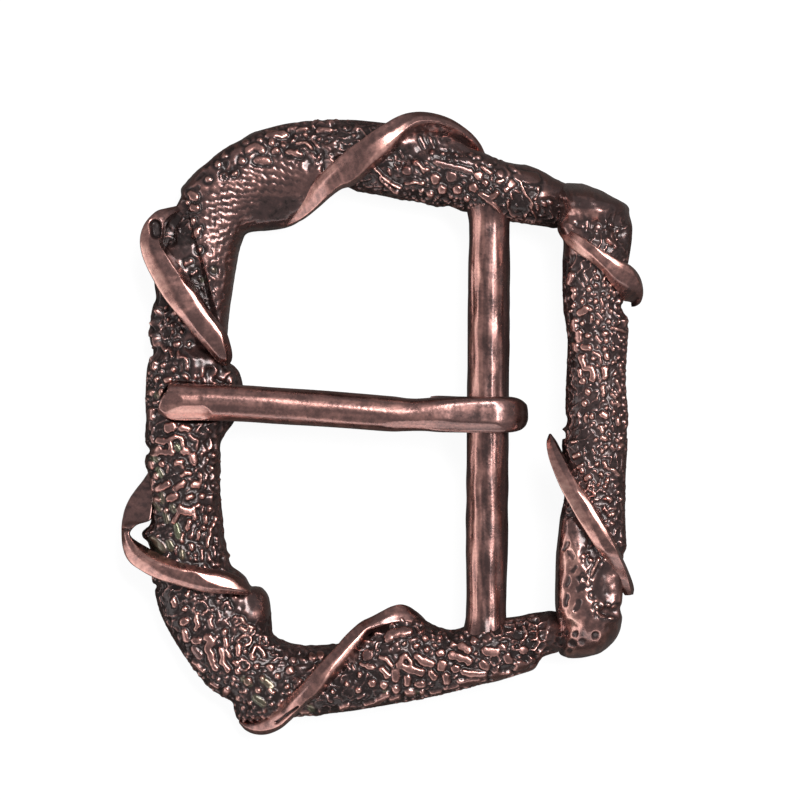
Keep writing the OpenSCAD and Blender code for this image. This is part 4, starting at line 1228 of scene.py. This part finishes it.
# The prong from its tip, round the bar, to its tail. Middle line, half width and half thickness, and how
# square its section is, from 0 for an oval to 1.
PRONG_ROD = [
    # picture x, y, half width, z, half thickness, square
    (163, 398.2, 0.15, 4.95, 0.3, 0.0),
    (163.5, 398.4, 0.75, 4.96, 0.8, 0.0),
    (164.6, 399, 1.25, 4.99, 1.25, 0.0),
    (166.8, 400.2, 1.65, 5.03, 1.57, 0.0),
    (170.5, 400.6, 1.87, 5.07, 1.72, 0.0),
    (178, 401.3, 1.93, 5.1, 1.78, 0.0),
    (188, 401.7, 1.9, 5.15, 1.8, 0.0),
    (203, 402.1, 1.85, 5.22, 1.8, 0.0),
    (243, 403.4, 1.83, 5.41, 1.8, 0.0),
    (278, 405.8, 1.82, 5.58, 1.8, 0.0),
    (315, 408.1, 1.81, 5.75, 1.8, 0.0),
    (353, 410.9, 1.8, 5.93, 1.8, 0.0),
    (390, 413.7, 1.78, 6.12, 1.8, 0.0),
    (404, 414.5, 1.67, 6.2, 1.78, 0.1),
    (415, 414.7, 1.62, 6.25, 1.76, 0.2),
    (426, 414.5, 1.66, 6.3, 1.78, 0.3),
    (438, 414.4, 1.77, 6.36, 1.78, 0.4),
    (450, 414.4, 1.8, 6.48, 1.68, 0.5),
    (460, 414.5, 1.8, 6.7, 1.46, 0.6),
    (470, 414.6, 1.8, 6.96, 1.2, 0.6),
    (479, 414.6, 1.8, 7.17, 0.98, 0.6),
]
PRONG_HALF_WIDTH = 1.8
# The eye: the radius of its middle line, its half thickness and its y, how much its half width narrows
# where it turns down, how square it is, and the directions from the bar's axis that it passes, in degrees.
EYE_MIDDLE_R = 3.12
EYE_HALF = 0.9
EYE_Y = 0.89
EYE_WAIST = 0.5
EYE_SQUARE = 0.6
EYE_TURNS = (78, 62, 44, 26, 8, -10, -28, -46, -64, -82, -100, -116, -130)
PRONG_TAIL = [
    # x, y, z, half width, half thickness, square
    (7.9, 0.92, 2.25, 1.78, 0.8, 0.6),
    (7.1, 0.98, 2.95, 1.76, 0.66, 0.6),
    (6.3, 1.04, 3.7, 1.74, 0.5, 0.6),
    (5.5, 1.1, 4.3, 1.7, 0.32, 0.6),
    (4.9, 1.12, 4.62, 1.6, 0.16, 0.6),
]
# The step between the prong's rings of points.
PRONG_FINE = 0.12
# Flats hammered on the tip: a point of each and its z, and how it falls along x and y.
TIP_FLATS = [
    # picture x, y, z, fall along x, fall along y
    (190, 409.5, 6.5, 0.05, 0.8),
    (188, 400.5, 6.9, 0.05, 0.06),
    (188, 393.5, 6.76, 0.05, -0.22),
    (188, 388, 6.42, 0.05, -0.5),
    (168, 400, 6.35, 0.35, 0.02),
]


def prong_rows():
    """The prong's middle line, half width, half thickness and squareness from its tip to its tail."""
    rod = between(np.asarray(PRONG_ROD), 10)
    place = plan(rod[:, :2])
    turn = np.radians(np.array(EYE_TURNS))
    same = np.ones_like(turn)
    x, z = BAR_X + EYE_MIDDLE_R * np.cos(turn), BAR_Z + EYE_MIDDLE_R * np.sin(turn)
    half = PRONG_HALF_WIDTH - EYE_WAIST * np.exp(-((turn / 0.45) ** 2))
    eye = np.column_stack([x, EYE_Y * same, z, half, EYE_HALF * same, EYE_SQUARE * same])
    straight = np.column_stack([place, rod[:, 3], rod[:, 2], rod[:, 4], rod[:, 5]])
    rows = np.vstack([straight, between(np.vstack([eye, PRONG_TAIL]), 8)])
    return even(rows, rows[:, :3], PRONG_FINE)


def hammered(grid, upper):
    """The prong with its upper side cut down to the tip's flats.

    A flat's height is its own point's plus its falls times the way from there. It rises by 1.2 mm more
    from where x is -18.2 to where it is -15, so that the flats end there."""
    x, y, z = grid[..., 0], grid[..., 1], grid[..., 2]
    for px, py, high, along, across in TIP_FLATS:
        (mx, my), = plan([(px, py)])
        flat = high + along * (x - mx) + across * (y - my) + 1.2 * ease((x + 18.2) / 3.2)
        z = np.where(upper, np.minimum(z, flat), z)
    return np.concatenate([grid[..., :2], z[..., None]], -1)


def prong_grid(sides=96):
    """Rings across the prong's middle line, from ovals to rounded rectangles as its squareness grows."""
    rows = prong_rows()
    way = unit(np.gradient(rows[:, :3], axis=0))
    side = unit(np.array([0, 1.0, 0]) - way * way[:, 1:2])
    up = np.cross(way, side)
    a = np.linspace(0, 2 * math.pi, sides, endpoint=False)[None]
    power = 1 - 0.55 * rows[:, 5:6]
    c = np.sign(np.cos(a)) * np.abs(np.cos(a)) ** power
    s = np.sign(np.sin(a)) * np.abs(np.sin(a)) ** power
    grid = rows[:, None, :3] + side[:, None] * (rows[:, 3:4] * c)[..., None]
    grid = grid + up[:, None] * (rows[:, 4:5] * s)[..., None]
    grid = hammered(grid, s > 0)
    x = grid[..., 0]
    length = np.arange(len(rows))[:, None] * PRONG_FINE
    q = np.stack(np.broadcast_arrays(a * PRONG_HALF_WIDTH, length), -1)
    normal = facing(grid)
    grid = grid + normal * (0.01 * waves(q * (1, 0.15), 1.5, 95) + 0.002 * waves(q, 0.5, 96))[..., None]
    # Painted light: the tone is lighter where the prong faces up towards the light, and painted darker over the
    # eye to dim its highlight.
    tone = 0.5 + 0.1 * ease((normal[..., 2] + 0.3) / 0.8) + 0.05 * waves(q * (2.2, 0.12), 1.2, 94)
    tone -= 0.14 * ease((x - 4.5) / 2)
    # A painted reflection of the front light along the tip's lower flat.
    painted_reflection = ease((x + 21.6) / 0.8) * ease((-16.2 - x) / 2.2) * ease((2.05 - grid[..., 1]) / 0.3) * (s > 0)
    return grid, {"tone": tone + 0.16 * painted_reflection}


# Finishes

# The plate's colour from the darkest tone to the lightest, and the colour of the green chips.
PLATE_COLOURS = (
    # tone, colour
    (0.0, (0.03, 0.019, 0.018)),
    (0.3, (0.11, 0.062, 0.058)),
    (0.55, (0.38, 0.202, 0.178)),
    (0.72, (0.62, 0.315, 0.268)),
    (0.86, (0.82, 0.445, 0.37)),
    (1.0, (0.94, 0.555, 0.46)),
)
CHIP_COLOUR = (0.2, 0.215, 0.125)


def greened(grid):
    """Mask of the green chips, sharp at their edges."""
    q = grid[..., :2].reshape(-1, 2)
    mask = np.zeros(len(q))
    for half, share, *spots in VERDIGRIS:
        path, half = in_millimetres(spots, half)
        at = around(q, path, half + 0.2)
        mask[at] = np.maximum(mask[at], share * ease((half + 0.12 - away(q[at], path)) / 0.2))
    return mask.reshape(grid.shape[:2])


def patina_group():
    """Antique copper plate: black-brown in the hollows, brown on the flats and rubbed copper on the edges.

    Tone is the mask that the pieces carry, which in places holds painted shade and painted highlights as well as
    the patina, and Green the mask of verdigris. Metal is how much of a metal the surface is, lower in the
    hollows. Lacquer is the coat's weight, thin in the gaps.
    Grain is the bump's height."""
    group = bpy.data.node_groups.new("antique_patina", "ShaderNodeTree")
    face = group.interface
    for name, default in (("Tone", 0.5), ("Green", 0.0)):
        socket = face.new_socket(name, in_out="INPUT", socket_type="NodeSocketFloat")
        socket.default_value = default
    face.new_socket("Colour", in_out="OUTPUT", socket_type="NodeSocketColor")
    for name in ("Metal", "Roughness", "Lacquer", "Grain"):
        face.new_socket(name, in_out="OUTPUT", socket_type="NodeSocketFloat")
    nodes, links = group.nodes, group.links
    start, end = nodes.new("NodeGroupInput"), nodes.new("NodeGroupOutput")
    place = nodes.new("ShaderNodeTexCoord")

    def noise(scale, detail):
        texture = nodes.new("ShaderNodeTexNoise")
        texture.inputs["Scale"].default_value = scale
        texture.inputs["Detail"].default_value = detail
        links.new(place.outputs["Object"], texture.inputs["Vector"])
        return texture.outputs["Fac"]

    def spread(value, low, high, to_low, to_high):
        ranged = nodes.new("ShaderNodeMapRange")
        for name, number in (("From Min", low), ("From Max", high), ("To Min", to_low), ("To Max", to_high)):
            ranged.inputs[name].default_value = number
        links.new(value, ranged.inputs["Value"])
        return ranged.outputs["Result"]

    def combined(operation, a, b):
        node = nodes.new("ShaderNodeMath")
        node.operation = operation
        links.new(a, node.inputs[0])
        links.new(b, node.inputs[1])
        return node.outputs[0]

    blotch, speck = noise(900, 4), noise(4200, 3)
    stain = spread(blotch, 0.3, 0.7, -0.09, 0.09)
    freckle = spread(speck, 0.35, 0.65, -0.06, 0.06)
    tone = combined("ADD", combined("ADD", stain, freckle), start.outputs["Tone"])
    ramp = nodes.new("ShaderNodeValToRGB")
    stops = ramp.color_ramp.elements
    for stop, (position, colour) in zip(stops, (PLATE_COLOURS[0], PLATE_COLOURS[-1])):
        stop.position = position
        stop.color = (*colour, 1)
    for position, colour in PLATE_COLOURS[1:-1]:
        stops.new(position).color = (*colour, 1)
    links.new(tone, ramp.inputs["Fac"])
    green = nodes.new("ShaderNodeMix")
    green.data_type = "RGBA"
    green.inputs["B"].default_value = (*CHIP_COLOUR, 1)
    flecked = spread(speck, 0.35, 0.6, 0.6, 1.0)
    links.new(combined("MULTIPLY", start.outputs["Green"], flecked), green.inputs["Factor"])
    links.new(ramp.outputs["Color"], green.inputs["A"])
    links.new(green.outputs["Result"], end.inputs["Colour"])
    links.new(spread(tone, 0.1, 0.5, 0.45, 1.0), end.inputs["Metal"])
    links.new(spread(tone, 0.0, 0.25, 0.3, 0.75), end.inputs["Lacquer"])
    links.new(spread(blotch, 0.3, 0.7, 0.22, 0.36), end.inputs["Roughness"])
    links.new(combined("ADD", speck, blotch), end.inputs["Grain"])
    return group


patina = patina_group()


def copper(name, grain, gloss=1.0):
    """Antique copper that reads the piece's own tone and green.

    grain is the bump's height in millimetres, and gloss how much of the lacquer is left."""
    material = bpy.data.materials.new(name)
    material.use_nodes = True
    nodes, links = material.node_tree.nodes, material.node_tree.links
    metal = nodes["Principled BSDF"]
    finish = nodes.new("ShaderNodeGroup")
    finish.node_tree = patina
    for mask, socket in (("tone", "Tone"), ("green", "Green")):
        reader = nodes.new("ShaderNodeAttribute")
        reader.attribute_name = mask
        links.new(reader.outputs["Fac"], finish.inputs[socket])
    lacquer = nodes.new("ShaderNodeMath")
    lacquer.operation = "MULTIPLY"
    lacquer.inputs[1].default_value = gloss
    links.new(finish.outputs["Lacquer"], lacquer.inputs[0])
    links.new(lacquer.outputs[0], metal.inputs["Coat Weight"])
    metal.inputs["Coat Roughness"].default_value = 0.14
    bump = nodes.new("ShaderNodeBump")
    bump.inputs["Strength"].default_value = 0.5
    bump.inputs["Distance"].default_value = grain * MM
    links.new(finish.outputs["Grain"], bump.inputs["Height"])
    links.new(finish.outputs["Colour"], metal.inputs["Base Color"])
    links.new(finish.outputs["Metal"], metal.inputs["Metallic"])
    links.new(finish.outputs["Roughness"], metal.inputs["Roughness"])
    links.new(bump.outputs["Normal"], metal.inputs["Normal"])
    return material


cast_copper = copper("pebbled_casting", 0.03)
# The vines' tone holds rubbed wear together with painted highlights and painted shade.
vine_copper = copper("vine_wear_and_painted_light", 0.015)
bar_copper = copper("bar_copper", 0.03, 0.35)
prong_copper = copper("prong_copper", 0.015)

# Pieces

grid, masks = rim_grid()
masks["green"] = greened(grid)
normals = facing(grid)
cuts = np.linspace(0, len(grid) - 1, 4).round().astype(int)
for part, (first, last) in zip(("top_rail", "left_side", "bottom_rail"), zip(cuts[:-1], cuts[1:])):
    span = slice(first, last + 1)
    own = {mask: values[span] for mask, values in masks.items()}
    tube_piece(part, grid[span], cast_copper, "frame", "frame", own, normals[span])

grid, masks = keeper_grid()
tube_piece("keeper", grid, cast_copper, "frame", "frame", masks)

for name in VINES:
    grid, masks = vine_grid(name)
    tube_piece(name, grid, vine_copper, "frame", "frame", masks)

grid, masks = bar_grid()
tube_piece("centre_bar", grid, bar_copper, "frame", "frame", masks)

grid, masks = prong_grid()
tube_piece("prong_and_eye", grid, prong_copper, "prong", "prong", masks)
